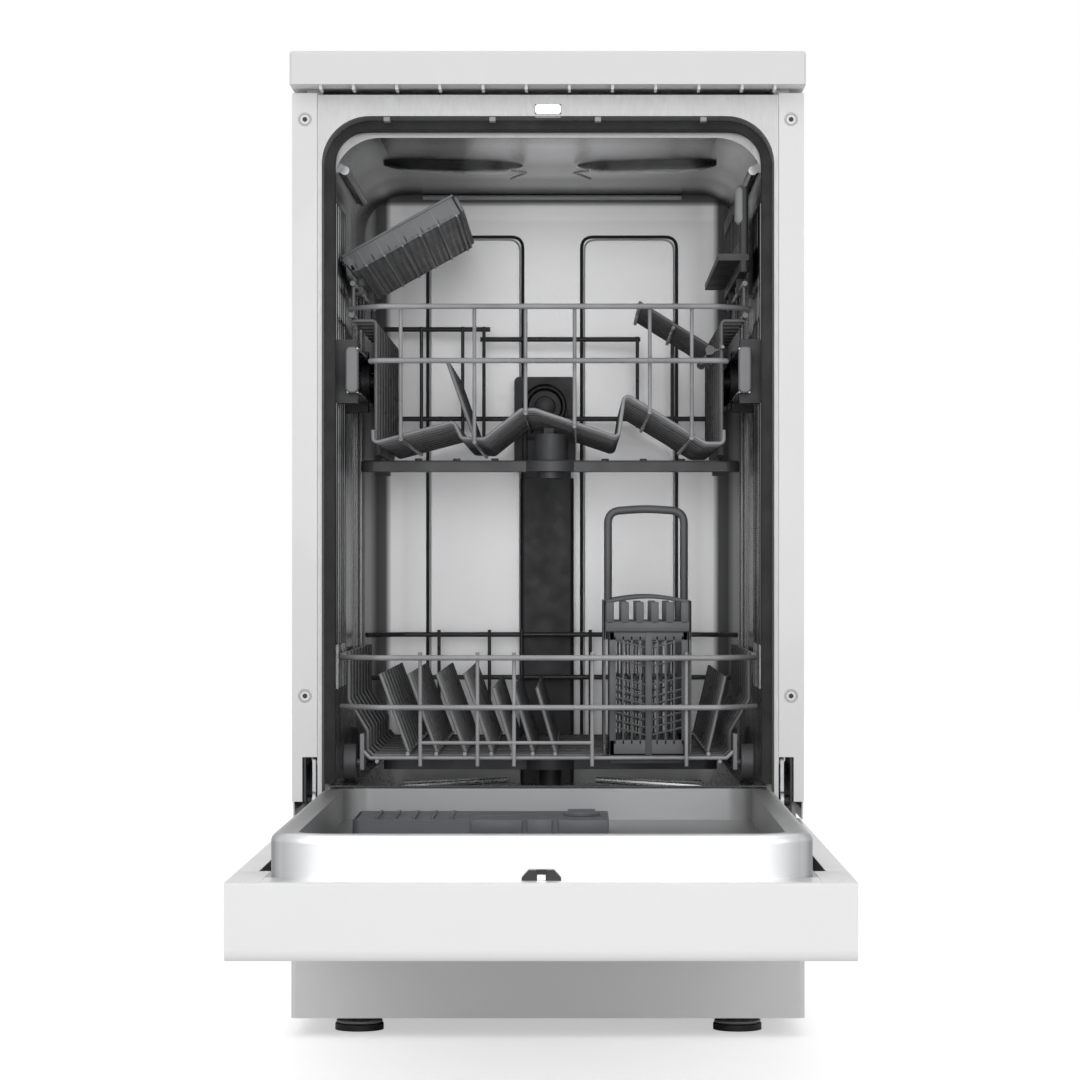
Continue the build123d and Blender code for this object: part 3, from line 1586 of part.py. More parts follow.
with BuildPart() as lower_floor:
    with Locations(*[(0, y, 0) for y in lower_rows]):
        add(lower_floor_wire.part)
    under_z = lower_floor_z - 2 * wire_radius + weld
    for x in (-corner + 6, *lower_bars, corner - 6):
        rod((x, lower_first - wire_radius, under_z), (x, lower_last + wire_radius, under_z), wire_radius)


def lower_grille(y, rail_heights, inward):
    # inward is 1 on the front grille and -1 on the rear one
    low = lower_floor_z - hook_depth
    wire_y = y + inward * (rail_radius + wire_radius - weld)
    with BuildPart() as grille:
        for z in rail_heights:
            end_x, end_back = lower_rail_end
            points = [
                (-end_x, y + inward * end_back, z),
                (-rail_straight, y, z),
                (rail_straight, y, z),
                (end_x, y + inward * end_back, z),
            ]
            bent_wire(points, rail_radius, 3 * bend)
        for x in lower_bars:
            rod((x, wire_y, low), (x, wire_y, rail_heights[0] + 2 * rail_radius), wire_radius)
        if inward > 0:
            rod((lower_bars[0], wire_y, bridge_z), (lower_bars[3], wire_y, bridge_z), tine_radius)
        cut_across(rail_cuts, sorted((y - inward * overrun, y + inward * overrun)), (low, rail_heights[0] + overrun))
    return grille


wheel_radius = 16.5
wheel_x = (172, 184)
wheel_z = ledge_top + 0.4 + wheel_radius
wheel_rows = {"front": front_y + 80, "rear": front_y + 420}
axle_radius = 3
carrier_half = 14
carrier_sheet = 3.5
carrier_x = lower_side[1] + wire_radius + clearance
carrier_top = lower_knee[2] - wire_radius


def lower_basket_side(side):
    with BuildPart() as grille:
        with Locations(*[(0, y, 0) for y in lower_rows[1:-1]]):
            add(lower_side_wire.part if side > 0 else lower_side_wire.part.mirror(Plane.YZ))
        x = side * (lower_side[0] + wire_radius + rail_radius - weld)
        z = lower_knee[0] - rail_radius
        rod(
            (x, lower_front + lower_rail_end[1] + 3, z),
            (x, lower_rear - lower_rail_end[1] - 3, z),
            rail_radius,
        )
        for y in wheel_rows.values():
            block(
                sorted((side * carrier_x, side * (carrier_x + carrier_sheet))),
                (y - carrier_half, y + carrier_half),
                (wheel_z - 2 * axle_radius, carrier_top),
            )
            rod((side * carrier_x, y, wheel_z), (side * (wheel_x[1] + 1), y, wheel_z), axle_radius)
    return grille


lower_parts = [
    lower_floor,
    lower_grille(lower_front, lower_rail_z, 1),
    lower_grille(lower_rear, lower_rear_rail_z, -1),
    lower_basket_side(-1),
    lower_basket_side(1),
]
with BuildPart() as lower_basket_frame:
    add([grille.part for grille in lower_parts])
write(lower_basket_frame, "lower_basket_frame")

for row, y in wheel_rows.items():
    with BuildPart() as wheels:
        for side in (-1, 1):
            rod((side * wheel_x[0], y, wheel_z), (side * wheel_x[1], y, wheel_z), wheel_radius)
            rod(
                (side * (wheel_x[0] - 1), y, wheel_z),
                (side * (wheel_x[1] + 1), y, wheel_z),
                axle_radius + running_fit,
                mode=Mode.SUBTRACT,
            )
        fillet(wheels.edges().filter_by(GeomType.CIRCLE).group_by(SortBy.RADIUS)[-1], 1.5)
    write(wheels, f"{row}_wheels")

# Lower basket: fixed plate tines, in rows from front to back
tine_columns = {
    -124.8: (75, -20),
    -99.5: (75, -20),
    -74.2: (75, -20),
    -50.7: (75, -19),
    -31.8: (60, -17),
    -14: (60, -17),
    6: (60, -16),
    142: (70, 13),
}
tine_base = lower_floor_z + 2 * wire_radius + clearance
with BuildPart() as lower_tines:
    for x, (length, lean) in tine_columns.items():
        rod((x, lower_rows[0], tine_base), (x, lower_rows[-1], tine_base), wire_radius)
        tip = Vector(0, 0, length).rotate(Axis.Y, lean)
        for y0, y1 in zip(lower_rows, lower_rows[1:]):
            y = (y0 + y1) / 2
            rod((x, y, tine_base), (x + tip.X, y, tine_base + tip.Z), tine_radius)
write(lower_tines, "lower_tines")

# Lower basket: cutlery basket with a lattice body, a slotted collar and a carrying loop
cutlery_x = (54, 124)
cutlery_y = (lower_bar_y + 8, lower_bar_y + 156)
cutlery_z = (lower_floor_z + wire_radius + clearance, 352)
collar_x = (48.6, 127)
collar_top = 384
cutlery_wall = 2
loop_width = 7
loop_depth = 10
loop_top = 466
loop_corner = 14
cell = (6.4, 11)
cell_pitch = (8.6, 14.5)
cell_grid = (7, 6)
slot_grid = 5
collar_slot = (7, 20)
with BuildPart() as cutlery_basket:
    middle_x = (cutlery_x[0] + cutlery_x[1]) / 2
    middle_y = (cutlery_y[0] + cutlery_y[1]) / 2
    cell_z = (cutlery_z[0] + cutlery_z[1]) / 2 + 4
    block(cutlery_x, cutlery_y, cutlery_z)
    collar_y = (cutlery_y[0] - 3, cutlery_y[1] + 3)
    block(collar_x, collar_y, (cutlery_z[1], collar_top))
    inner_x = (cutlery_x[0] + cutlery_wall, cutlery_x[1] - cutlery_wall)
    inner_y = (cutlery_y[0] + cutlery_wall, cutlery_y[1] - cutlery_wall)
    block(inner_x, inner_y, (cutlery_z[0] + cutlery_wall, collar_top + overrun), mode=Mode.SUBTRACT)
    block(
        (collar_x[0] + cutlery_wall, collar_x[1] - cutlery_wall),
        (collar_y[0] + cutlery_wall, collar_y[1] - cutlery_wall),
        (cutlery_z[1] + cutlery_wall, collar_top + overrun),
        mode=Mode.SUBTRACT,
    )
    with BuildSketch(facing(cutlery_y[0] - overrun)):
        with Locations((middle_x, cell_z)):
            with GridLocations(*cell_pitch, *cell_grid):
                Rectangle(*cell)
    extrude(amount=-(cutlery_y[1] - cutlery_y[0] + 2 * overrun), mode=Mode.SUBTRACT)
    with BuildSketch(Plane.YZ.offset(cutlery_x[0] - overrun)):
        with Locations((middle_y, cell_z)):
            with GridLocations(*cell_pitch, 2 * cell_grid[0] + 1, cell_grid[1]):
                Rectangle(*cell)
    extrude(amount=cutlery_x[1] - cutlery_x[0] + 2 * overrun, mode=Mode.SUBTRACT)
    with BuildSketch(facing(collar_y[0] - overrun)):
        with Locations((middle_x, (cutlery_z[1] + collar_top) / 2 + 1)):
            with GridLocations(2 * collar_slot[0], 0, slot_grid, 1):
                RectangleRounded(*collar_slot, 3)
    extrude(amount=-(collar_y[1] - collar_y[0] + 2 * overrun), mode=Mode.SUBTRACT)
    loop_half = (collar_x[1] - collar_x[0]) / 2 - 2
    loop_foot = cutlery_z[1] - 8
    outer_loop = arch(loop_half, loop_top, loop_corner, loop_foot)
    inner_loop = arch(loop_half - loop_width, loop_top - loop_width, loop_corner - loop_width + 1, loop_foot - 1)
    with BuildSketch(facing(middle_y - loop_depth / 2)):
        with Locations(((collar_x[0] + collar_x[1]) / 2, 0)):
            add(outer_loop)
            add(inner_loop, mode=Mode.SUBTRACT)
    extrude(amount=-loop_depth)
    block(
        (cutlery_x[0], cutlery_x[1]),
        (middle_y - cutlery_wall / 2, middle_y + cutlery_wall / 2),
        (cutlery_z[0] + cutlery_wall, cutlery_z[1]),
    )
write(cutlery_basket, "cutlery_basket")
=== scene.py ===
import math

import bpy
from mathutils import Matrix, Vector


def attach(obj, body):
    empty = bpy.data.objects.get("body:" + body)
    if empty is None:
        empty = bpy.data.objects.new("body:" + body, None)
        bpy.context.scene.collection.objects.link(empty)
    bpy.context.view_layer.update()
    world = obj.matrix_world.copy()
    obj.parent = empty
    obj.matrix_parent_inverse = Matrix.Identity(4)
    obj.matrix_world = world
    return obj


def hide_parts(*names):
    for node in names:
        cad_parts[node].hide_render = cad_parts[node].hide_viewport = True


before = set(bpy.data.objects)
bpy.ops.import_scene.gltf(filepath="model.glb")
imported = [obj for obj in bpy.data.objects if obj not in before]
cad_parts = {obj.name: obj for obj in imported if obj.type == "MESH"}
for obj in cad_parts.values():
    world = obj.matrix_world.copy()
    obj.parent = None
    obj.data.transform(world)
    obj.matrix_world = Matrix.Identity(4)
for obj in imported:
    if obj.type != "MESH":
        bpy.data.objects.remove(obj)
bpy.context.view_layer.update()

flangeY = 0.0275  # front of the side flanges, the plane that the photo was measured from
smoothAngle = math.radians(35)


def clearSelection():
    if bpy.context.object and bpy.context.object.mode == "EDIT":
        bpy.ops.object.mode_set(mode="OBJECT")
    bpy.ops.object.select_all(action="DESELECT")


def useOnly(piece):
    clearSelection()
    piece.select_set(True)
    bpy.context.view_layer.objects.active = piece


def shadeSmooth(piece):
    useOnly(piece)
    bpy.ops.object.shade_smooth_by_angle(angle=smoothAngle)


# materials


def newMaterial(name, color, roughness, metallic=0.0):
    material = bpy.data.materials.new(name)
    material.use_nodes = True
    nodes = material.node_tree.nodes
    shader = nodes["Principled BSDF"]
    shader.inputs["Base Color"].default_value = (*color, 1)
    shader.inputs["Roughness"].default_value = roughness
    shader.inputs["Metallic"].default_value = metallic
    return material


def objectCoordinates(material, stretch=(1, 1, 1)):
    nodes, links = material.node_tree.nodes, material.node_tree.links
    place = nodes.new("ShaderNodeTexCoord")
    mapping = nodes.new("ShaderNodeMapping")
    mapping.inputs["Scale"].default_value = stretch
    links.new(place.outputs["Object"], mapping.inputs["Vector"])
    return mapping.outputs["Vector"]


def noise(material, where, scale, detail=3.0):
    node = material.node_tree.nodes.new("ShaderNodeTexNoise")
    node.inputs["Scale"].default_value = scale
    node.inputs["Detail"].default_value = detail
    material.node_tree.links.new(where, node.inputs["Vector"])
    return node.outputs["Fac"]


def addBump(material, height, strength, distance=0.0005):
    nodes, links = material.node_tree.nodes, material.node_tree.links
    bump = nodes.new("ShaderNodeBump")
    bump.inputs["Strength"].default_value = strength
    bump.inputs["Distance"].default_value = distance
    links.new(height, bump.inputs["Height"])
    links.new(bump.outputs["Normal"], nodes["Principled BSDF"].inputs["Normal"])


def varyRoughness(material, source, low, high):
    nodes, links = material.node_tree.nodes, material.node_tree.links
    spread = nodes.new("ShaderNodeMapRange")
    spread.inputs["From Min"].default_value = 0.3
    spread.inputs["From Max"].default_value = 0.7
    spread.inputs["To Min"].default_value = low
    spread.inputs["To Max"].default_value = high
    links.new(source, spread.inputs["Value"])
    links.new(spread.outputs["Result"], nodes["Principled BSDF"].inputs["Roughness"])


def varyColor(material, source, dark, light):
    nodes, links = material.node_tree.nodes, material.node_tree.links
    ramp = nodes.new("ShaderNodeValToRGB")
    ramp.color_ramp.elements[0].position = 0.35
    ramp.color_ramp.elements[0].color = (*dark, 1)
    ramp.color_ramp.elements[1].position = 0.65
    ramp.color_ramp.elements[1].color = (*light, 1)
    links.new(source, ramp.inputs["Fac"])
    links.new(ramp.outputs["Color"], nodes["Principled BSDF"].inputs["Base Color"])


def enamel(name, color, roughness):
    # sprayed and baked paint: a little orange peel and a clear top
    material = newMaterial(name, color, roughness)
    where = objectCoordinates(material)
    varyRoughness(material, noise(material, where, 9, 2), roughness - 0.04, roughness + 0.05)
    addBump(material, noise(material, where, 420, 2), 0.05)
    material.node_tree.nodes["Principled BSDF"].inputs["Coat Weight"].default_value = 0.2
    return material


def plastic(name, dark, light, roughness, grain=900, depth=0.12):
    # moulded plastic: fine grain and slightly uneven tone
    material = newMaterial(name, light, roughness)
    where = objectCoordinates(material)
    varyColor(material, noise(material, where, 14, 4), dark, light)
    varyRoughness(material, noise(material, where, 60, 3), roughness - 0.06, roughness + 0.08)
    addBump(material, noise(material, where, grain, 2), depth)
    return material


def rampOver(material, axis, low, high, stops, mirrored=False):
    # painted reflections and painted shade: grey tones laid along one axis of the machine, standing in for
    # the light and dark parts of a room that the sheet mirrors
    nodes, links = material.node_tree.nodes, material.node_tree.links
    split = nodes.new("ShaderNodeSeparateXYZ")
    links.new(nodes.new("ShaderNodeTexCoord").outputs["Object"], split.inputs["Vector"])
    place = split.outputs[axis]
    if mirrored:
        absolute = nodes.new("ShaderNodeMath")
        absolute.operation = "ABSOLUTE"
        links.new(place, absolute.inputs[0])
        place = absolute.outputs["Value"]
    spread = nodes.new("ShaderNodeMapRange")
    spread.inputs["From Min"].default_value = low
    spread.inputs["From Max"].default_value = high
    links.new(place, spread.inputs["Value"])
    ramp = nodes.new("ShaderNodeValToRGB")
    elements = ramp.color_ramp.elements
    while len(elements) < len(stops):
        elements.new(0.5)
    for element, (where, tone) in zip(elements, stops):
        element.position = (where - low) / (high - low)
        element.color = (tone, tone, tone * 1.005, 1)
    links.new(spread.outputs["Result"], ramp.inputs["Fac"])
    return ramp.outputs["Color"]


def blendColors(material, first, second, factor=None, kind="MIX", amount=1.0):
    nodes, links = material.node_tree.nodes, material.node_tree.links
    mix = nodes.new("ShaderNodeMix")
    mix.data_type = "RGBA"
    mix.blend_type = kind
    mix.inputs["Factor"].default_value = amount
    links.new(first, mix.inputs["A"])
    links.new(second, mix.inputs["B"])
    if factor:
        links.new(factor, mix.inputs["Factor"])
    return mix.outputs["Result"]


def steel(name, dark, light, roughness, stretch, depth=0.012):
    # rolled sheet: fine lines along the rolling direction and cloudy stains
    material = newMaterial(name, light, roughness, 1.0)
    lines = objectCoordinates(material, stretch)
    varyColor(material, noise(material, objectCoordinates(material), 5, 5), dark, light)
    varyRoughness(material, noise(material, lines, 900, 3), roughness - 0.04, roughness + 0.06)
    addBump(material, noise(material, lines, 1400, 2), depth, 0.0001)
    return material


def withPaintedLight(material, color):
    # lays the painted reflections and painted shade over the sheet's own colour
    socket = material.node_tree.nodes["Principled BSDF"].inputs["Base Color"]
    own = socket.links[0].from_socket
    material.node_tree.links.new(blendColors(material, own, color, kind="MULTIPLY"), socket)
    return material


def zinc(name):
    material = newMaterial(name, (0.5, 0.51, 0.52), 0.42, 1.0)
    nodes, links = material.node_tree.nodes, material.node_tree.links
    spangle = nodes.new("ShaderNodeTexVoronoi")
    spangle.inputs["Scale"].default_value = 160
    links.new(objectCoordinates(material), spangle.inputs["Vector"])
    varyColor(material, spangle.outputs["Distance"], (0.56, 0.57, 0.58), (0.42, 0.43, 0.44))
    varyRoughness(material, spangle.outputs["Distance"], 0.5, 0.32)
    return material


white = enamel("whiteEnamel", (0.8, 0.8, 0.8), 0.34)
laminate = plastic("worktopLaminate", (0.772, 0.772, 0.772), (0.78, 0.78, 0.78), 0.44, 1500, 0.02)
consoleWhite = plastic("consoleWhite", (0.843, 0.843, 0.843), (0.85, 0.85, 0.85), 0.38, 1200, 0.02)

tubDepth = 0.53  # from the flanges to just behind the tub's back wall
doorReach = 0.6  # from the flanges to the open door's far end
wireDepth = 0.5  # from the flanges to behind the baskets


def fromFlanges(*stops):
    # places along Y, measured back from the flanges, each with its tone
    return [(flangeY + back, tone) for back, tone in stops]


def alongTub(material, *stops):
    return rampOver(material, "Y", flangeY, flangeY + tubDepth, fromFlanges(*stops))


tubSteel = steel("tubSteel", (0.86, 0.865, 0.87), (0.94, 0.945, 0.95), 0.24, (1, 1, 0.02))
# painted reflections and painted shade: light and dark stripes along the side walls, and the ceiling lit
# near the front and shaded towards the back
wallPaintedLight = alongTub(
    tubSteel,
    (0.03, 0.3),
    (0.055, 0.12),
    (0.09, 0.34),
    (0.13, 0.08),
    (0.18, 0.28),
    (0.215, 0.05),
    (0.27, 0.3),
    (0.31, 0.06),
    (0.36, 0.2),
    (0.4, 0.05),
    (0.455, 0.34),
    (0.48, 0.1),
    (0.52, 0.5),
)
ceilingPaintedLight = alongTub(
    tubSteel,
    (0.035, 0.42),
    (0.1, 0.8),
    (0.2, 0.62),
    (0.26, 0.3),
    (0.34, 0.4),
    (0.38, 0.12),
    (0.44, 0.3),
    (0.49, 0.05),
    (0.52, 0.04),
)
# painted shade and a painted highlight across the ceiling: darker towards the side walls, with a bright line
# near each corner
acrossPaintedLightStops = [(0, 1.0), (0.045, 1.0), (0.1, 0.55), (0.14, 0.35), (0.168, 0.8), (0.185, 0.3), (0.198, 0.6)]
acrossPaintedLight = rampOver(tubSteel, "X", 0, 0.2, acrossPaintedLightStops, True)
# over the top corners the walls' painted light gives way to the ceiling's
overTop = rampOver(tubSteel, "Z", 0.7, 0.79, [(0.735, 0.0), (0.77, 1.0)])
ceilingPaintedLight = blendColors(tubSteel, ceilingPaintedLight, acrossPaintedLight, kind="MULTIPLY")
withPaintedLight(tubSteel, blendColors(tubSteel, wallPaintedLight, ceilingPaintedLight, overTop))

floorSteel = steel("floorSteel", (0.7, 0.705, 0.71), (0.8, 0.805, 0.81), 0.24, (1, 0.03, 1))
# painted shade: the tub floor darker towards the front and lighter towards the back
withPaintedLight(floorSteel, alongTub(floorSteel, (0.03, 0.1), (0.2, 0.25), (0.35, 0.6), (0.5, 0.9)))

backSteel = steel("backSteel", (0.96, 0.96, 0.96), (0.98, 0.98, 0.98), 0.37, (1, 1, 1), 0.001)
backSteel.node_tree.nodes["Principled BSDF"].inputs["Metallic"].default_value = 0.45
# painted shade and painted highlights: the back wall darker towards the bottom and in dark bands at the side
# and top corners, with a bright line just inside each band
backAcrossPaintedLightStops = [
    (0, 1.0),
    (0.13, 0.95),
    (0.15, 0.9),
    (0.1585, 1.0),
    (0.164, 1.0),
    (0.17, 0.08),
    (0.179, 0.05),
    (0.186, 0.3),
]
backUpPaintedLightStops = [
    (0.19, 0.3),
    (0.24, 0.8),
    (0.32, 1.0),
    (0.5, 1.0),
    (0.68, 0.95),
    (0.762, 0.9),
    (0.766, 1.0),
    (0.778, 1.0),
    (0.782, 0.12),
    (0.79, 0.05),
]
acrossBackPaintedLight = rampOver(backSteel, "X", 0, 0.2, backAcrossPaintedLightStops, True)
upBackPaintedLight = rampOver(backSteel, "Z", 0.18, 0.8, backUpPaintedLightStops)
withPaintedLight(backSteel, blendColors(backSteel, acrossBackPaintedLight, upBackPaintedLight, kind="MULTIPLY"))

doorSteel = steel("doorSteel", (0.95, 0.955, 0.96), (0.97, 0.975, 0.98), 0.36, (0.05, 1, 1), 0.0005)
doorSteel.node_tree.nodes["Principled BSDF"].inputs["Metallic"].default_value = 0.6
# painted light and painted shade: the door liner bright at its far edge and darker over the rest, and darker
# towards its two sides
doorPaintedLightStops = fromFlanges((-0.575, 1.0), (-0.558, 1.0), (-0.548, 0.42), (-0.3, 0.3), (0, 0.36))
doorPaintedLight = rampOver(doorSteel, "Y", flangeY - doorReach, flangeY + 0.02, doorPaintedLightStops)
doorSidesShadeStops = [(0, 1.0), (0.165, 0.95), (0.185, 0.6), (0.2, 0.85), (0.22, 0.5)]
doorSidesShade = rampOver(doorSteel, "X", 0, 0.23, doorSidesShadeStops, True)
withPaintedLight(doorSteel, blendColors(doorSteel, doorPaintedLight, doorSidesShade, kind="MULTIPLY"))

frameSteel = steel("frameSteel", (0.52, 0.52, 0.525), (0.54, 0.54, 0.545), 0.55, (1, 1, 0.1), 0.0005)
ridgeSteel = steel("ridgeSteel", (0.6, 0.6, 0.605), (0.72, 0.72, 0.725), 0.3, (0.05, 1, 1), 0.004)
brightSteel = steel("brightSteel", (0.68, 0.685, 0.69), (0.78, 0.785, 0.79), 0.2, (1, 0.03, 1))
railSteel = steel("railSteel", (0.3, 0.305, 0.31), (0.4, 0.405, 0.41), 0.24, (1, 0.03, 1))
galvanised = zinc("galvanisedSheet")
# painted highlights and painted shade: basket wires brighter at the front and darker towards the back
wirePaintedLight = fromFlanges((0.03, 2.6), (0.05, 2.1), (0.12, 0.9), (0.3, 0.6), (0.47, 0.4))
coatedWire = plastic("coatedWire", (0.1, 0.1, 0.103), (0.15, 0.15, 0.154), 0.3, 700, 0.03)
paleWire = plastic("paleWire", (0.13, 0.13, 0.133), (0.18, 0.18, 0.184), 0.3, 700, 0.03)
for wire in (coatedWire, paleWire):
    withPaintedLight(wire, rampOver(wire, "Y", flangeY, flangeY + wireDepth, wirePaintedLight))
darkPlastic = plastic("darkGreyPlastic", (0.035, 0.036, 0.038), (0.05, 0.051, 0.054), 0.45)
midPlastic = plastic("midGreyPlastic", (0.1, 0.102, 0.106), (0.13, 0.132, 0.138), 0.42)
trayPlastic = plastic("trayPlastic", (0.16, 0.163, 0.168), (0.19, 0.193, 0.2), 0.42)
blueGreyPlastic = plastic("blueGreyPlastic", (0.085, 0.09, 0.1), (0.105, 0.11, 0.12), 0.4)
lightPlastic = plastic("lightGreyPlastic", (0.3, 0.305, 0.31), (0.36, 0.365, 0.37), 0.4)
capPlastic = plastic("capPlastic", (0.19, 0.19, 0.205), (0.23, 0.23, 0.245), 0.4)
# white for the painted highlight lines in the tub
highlightPaint = enamel("highlightPaint", (0.93, 0.93, 0.93), 0.25)
blackPlastic = plastic("blackPlastic", (0.012, 0.012, 0.013), (0.022, 0.022, 0.024), 0.4)
basePlastic = plastic("basePlastic", (0.2, 0.2, 0.205), (0.26, 0.26, 0.265), 0.55)
rubber = plastic("sealRubber", (0.008, 0.008, 0.008), (0.015, 0.015, 0.015), 0.55, 500, 0.2)
boardGreen = plastic("boardGreen", (0.02, 0.16, 0.06), (0.03, 0.22, 0.09), 0.35, 300, 0.05)
milkyPlastic = plastic("milkyPlastic", (0.7, 0.71, 0.72), (0.78, 0.79, 0.8), 0.28)

nodeFinishes = {
    white: ["cabinet_screws", "side_panel_left", "side_panel_right", "plinth", "door_outer_panel"],
    laminate: ["worktop"],
    consoleWhite: ["console"],
    tubSteel: ["tub_wrapper"],
    floorSteel: ["tub_floor", "filter_plate"],
    backSteel: ["tub_back"],
    frameSteel: ["tub_front_frame"],
    doorSteel: ["door_liner"],
    brightSteel: ["door_striker", "door_springs", "latch_hook", "door_screws"],
    railSteel: ["upper_rails"],
    galvanised: ["back_panel", "hinge_arms"],
    coatedWire: ["upper_basket_frame", "upper_tines", "wire_cup_rack"],
    paleWire: ["lower_basket_frame", "lower_tines"],
    darkPlastic: ["rear_duct", "duct_docking", "roller_brackets", "sump", "height_adjusters", "cup_shelf"],
    midPlastic: [
        "cutlery_tray",
        "cutlery_basket",
        "upper_spray_arm",
        "lower_spray_arm",
        "upper_feed_pipe",
        "filter_cup",
        "front_wheels",
        "rear_wheels",
    ],
    blueGreyPlastic: ["dispenser_body", "dispenser_lid", "rinse_aid_cap"],
    capPlastic: ["rail_caps"],
    lightPlastic: ["inlet_valve", "button_power", "button_program", "button_start"],
    blackPlastic: [
        "hinge_plates",
        "latch_housing",
        "circulation_pump",
        "drain_pump",
        "pump_impeller",
        "foot_front_left",
        "foot_front_right",
        "foot_rear_left",
        "foot_rear_right",
    ],
    basePlastic: ["base_tray"],
    rubber: ["tub_gasket"],
    boardGreen: ["control_board"],
    milkyPlastic: ["air_break"],
}
for material, names in nodeFinishes.items():
    for name in names:
        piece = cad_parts[name]
        for slot in piece.material_slots:
            slot.material = material
        shadeSmooth(piece)
print("finishes on the machine's own parts")


# camera, floor and light

camera = {
    "place": (0.0254, flangeY - 3.1, 0.405),
    "lens": 118.1,
    "sensor": 36,
    "shift": (-0.0343, 0.0296),
}
clearSelection()
bpy.ops.object.camera_add(location=camera["place"], rotation=(math.radians(90), 0, 0))
view = bpy.context.object
view.data.lens = camera["lens"]
view.data.sensor_width = camera["sensor"]
view.data.shift_x, view.data.shift_y = camera["shift"]
bpy.context.scene.camera = view

floorSize = 14
bpy.ops.mesh.primitive_plane_add(size=floorSize, location=(0, 0, 0))
floor = bpy.context.object
floor.name = "paleFloor"

light = {
    "room": 0.5,  # strength of the white room on matte surfaces
    "floorGlow": 0.5,  # keeps the floor white for the camera alone
    # each lamp's place, target, size and power
    "key": ((-1.5, -2.6, 2.2), (0, 0.1, 0.4), 2.4, 19),
    "fill": ((1.9, -2.4, 1.5), (0, 0.1, 0.4), 2.2, 11.5),
    "top": ((0, -0.2, 2.9), (0, 0.1, 0.5), 2.0, 7),
    "inside": ((0.05, -3.3, 0.75), (0, 0.5, 0.5), 1.2, 12),
}

world = bpy.data.worlds.new("paleRoom")
bpy.context.scene.world = world
world.use_nodes = True
nodes, links = world.node_tree.nodes, world.node_tree.links
background = nodes["Background"]
background.inputs["Color"].default_value = (1, 1, 1, 1)
path = nodes.new("ShaderNodeLightPath")
seen = path.outputs["Is Camera Ray"]
for ray in ("Is Transmission Ray", "Is Glossy Ray"):
    either = nodes.new("ShaderNodeMath")
    either.operation = "MAXIMUM"
    links.new(seen, either.inputs[0])
    links.new(path.outputs[ray], either.inputs[1])
    seen = either.outputs["Value"]
strength = nodes.new("ShaderNodeMapRange")
strength.inputs["To Min"].default_value = light["room"]
strength.inputs["To Max"].default_value = 1
links.new(seen, strength.inputs["Value"])
links.new(strength.outputs["Result"], background.inputs["Strength"])

floorPaint = newMaterial("floorPaint", (0.92, 0.92, 0.92), 0.7)
nodes, links = floorPaint.node_tree.nodes, floorPaint.node_tree.links
path = nodes.new("ShaderNodeLightPath")
glow = nodes.new("ShaderNodeMath")
glow.operation = "MULTIPLY"
glow.inputs[1].default_value = light["floorGlow"]
links.new(path.outputs["Is Camera Ray"], glow.inputs[0])
nodes["Principled BSDF"].inputs["Emission Color"].default_value = (1, 1, 1, 1)
links.new(glow.outputs["Value"], nodes["Principled BSDF"].inputs["Emission Strength"])
floor.data.materials.append(floorPaint)

for name in ("key", "fill", "top", "inside"):
    place, target, size, power = light[name]
    clearSelection()
    bpy.ops.object.light_add(type="AREA", location=place)
    lamp = bpy.context.object
    lamp.name = name + "Lamp"
    lamp.data.shape = "DISK"
    lamp.data.size = size
    lamp.data.energy = power
    lamp.rotation_euler = (Vector(target) - Vector(place)).to_track_quat("-Z", "Y").to_euler()
bpy.context.scene.view_settings.view_transform = "Standard"
print("camera, floor and lamps")


# shared ways of making pieces

# roundings of small edges
hairEdge, fineEdge, thinEdge, softEdge = 0.0002, 0.0003, 0.0004, 0.0008


def finish(piece, name, material, body):
    piece.name = name
    piece.data.name = name
    piece.data.materials.clear()
    piece.data.materials.append(material)
    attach(piece, body)
    shadeSmooth(piece)
    return piece


def applyAll(piece):
    useOnly(piece)
    bpy.ops.object.transform_apply(location=True, rotation=True, scale=True)
    for modifier in list(piece.modifiers):
        bpy.ops.object.modifier_apply(modifier=modifier.name)


def addBlock(low, high, bevel=0.0006, segments=2):
    # a block between two corners with rounded edges
    clearSelection()
    middle = [(a + b) / 2 for a, b in zip(low, high)]
    bpy.ops.mesh.primitive_cube_add(size=1, location=middle)
    piece = bpy.context.object
    piece.scale = [abs(b - a) for a, b in zip(low, high)]
    bpy.ops.object.transform_apply(location=True, rotation=True, scale=True)
    if bevel:
        rounding = piece.modifiers.new("rounding", "BEVEL")
        rounding.width = bevel
        rounding.segments = segments
        bpy.ops.object.modifier_apply(modifier=rounding.name)
    return piece


def addRound(start, end, radius, sides=24, bevel=0.0004):
    # a round bar or disc between two points
    clearSelection()
    run = Vector(end) - Vector(start)
    bpy.ops.mesh.primitive_cylinder_add(vertices=sides, radius=radius, depth=run.length)
    piece = bpy.context.object
    piece.rotation_euler = run.to_track_quat("Z", "Y").to_euler()
    piece.location = (Vector(start) + Vector(end)) / 2
    bpy.ops.object.transform_apply(location=True, rotation=True, scale=True)
    if bevel:
        rounding = piece.modifiers.new("rounding", "BEVEL")
        rounding.width = bevel
        rounding.segments = 2
        rounding.angle_limit = math.radians(40)
        bpy.ops.object.modifier_apply(modifier=rounding.name)
    return piece


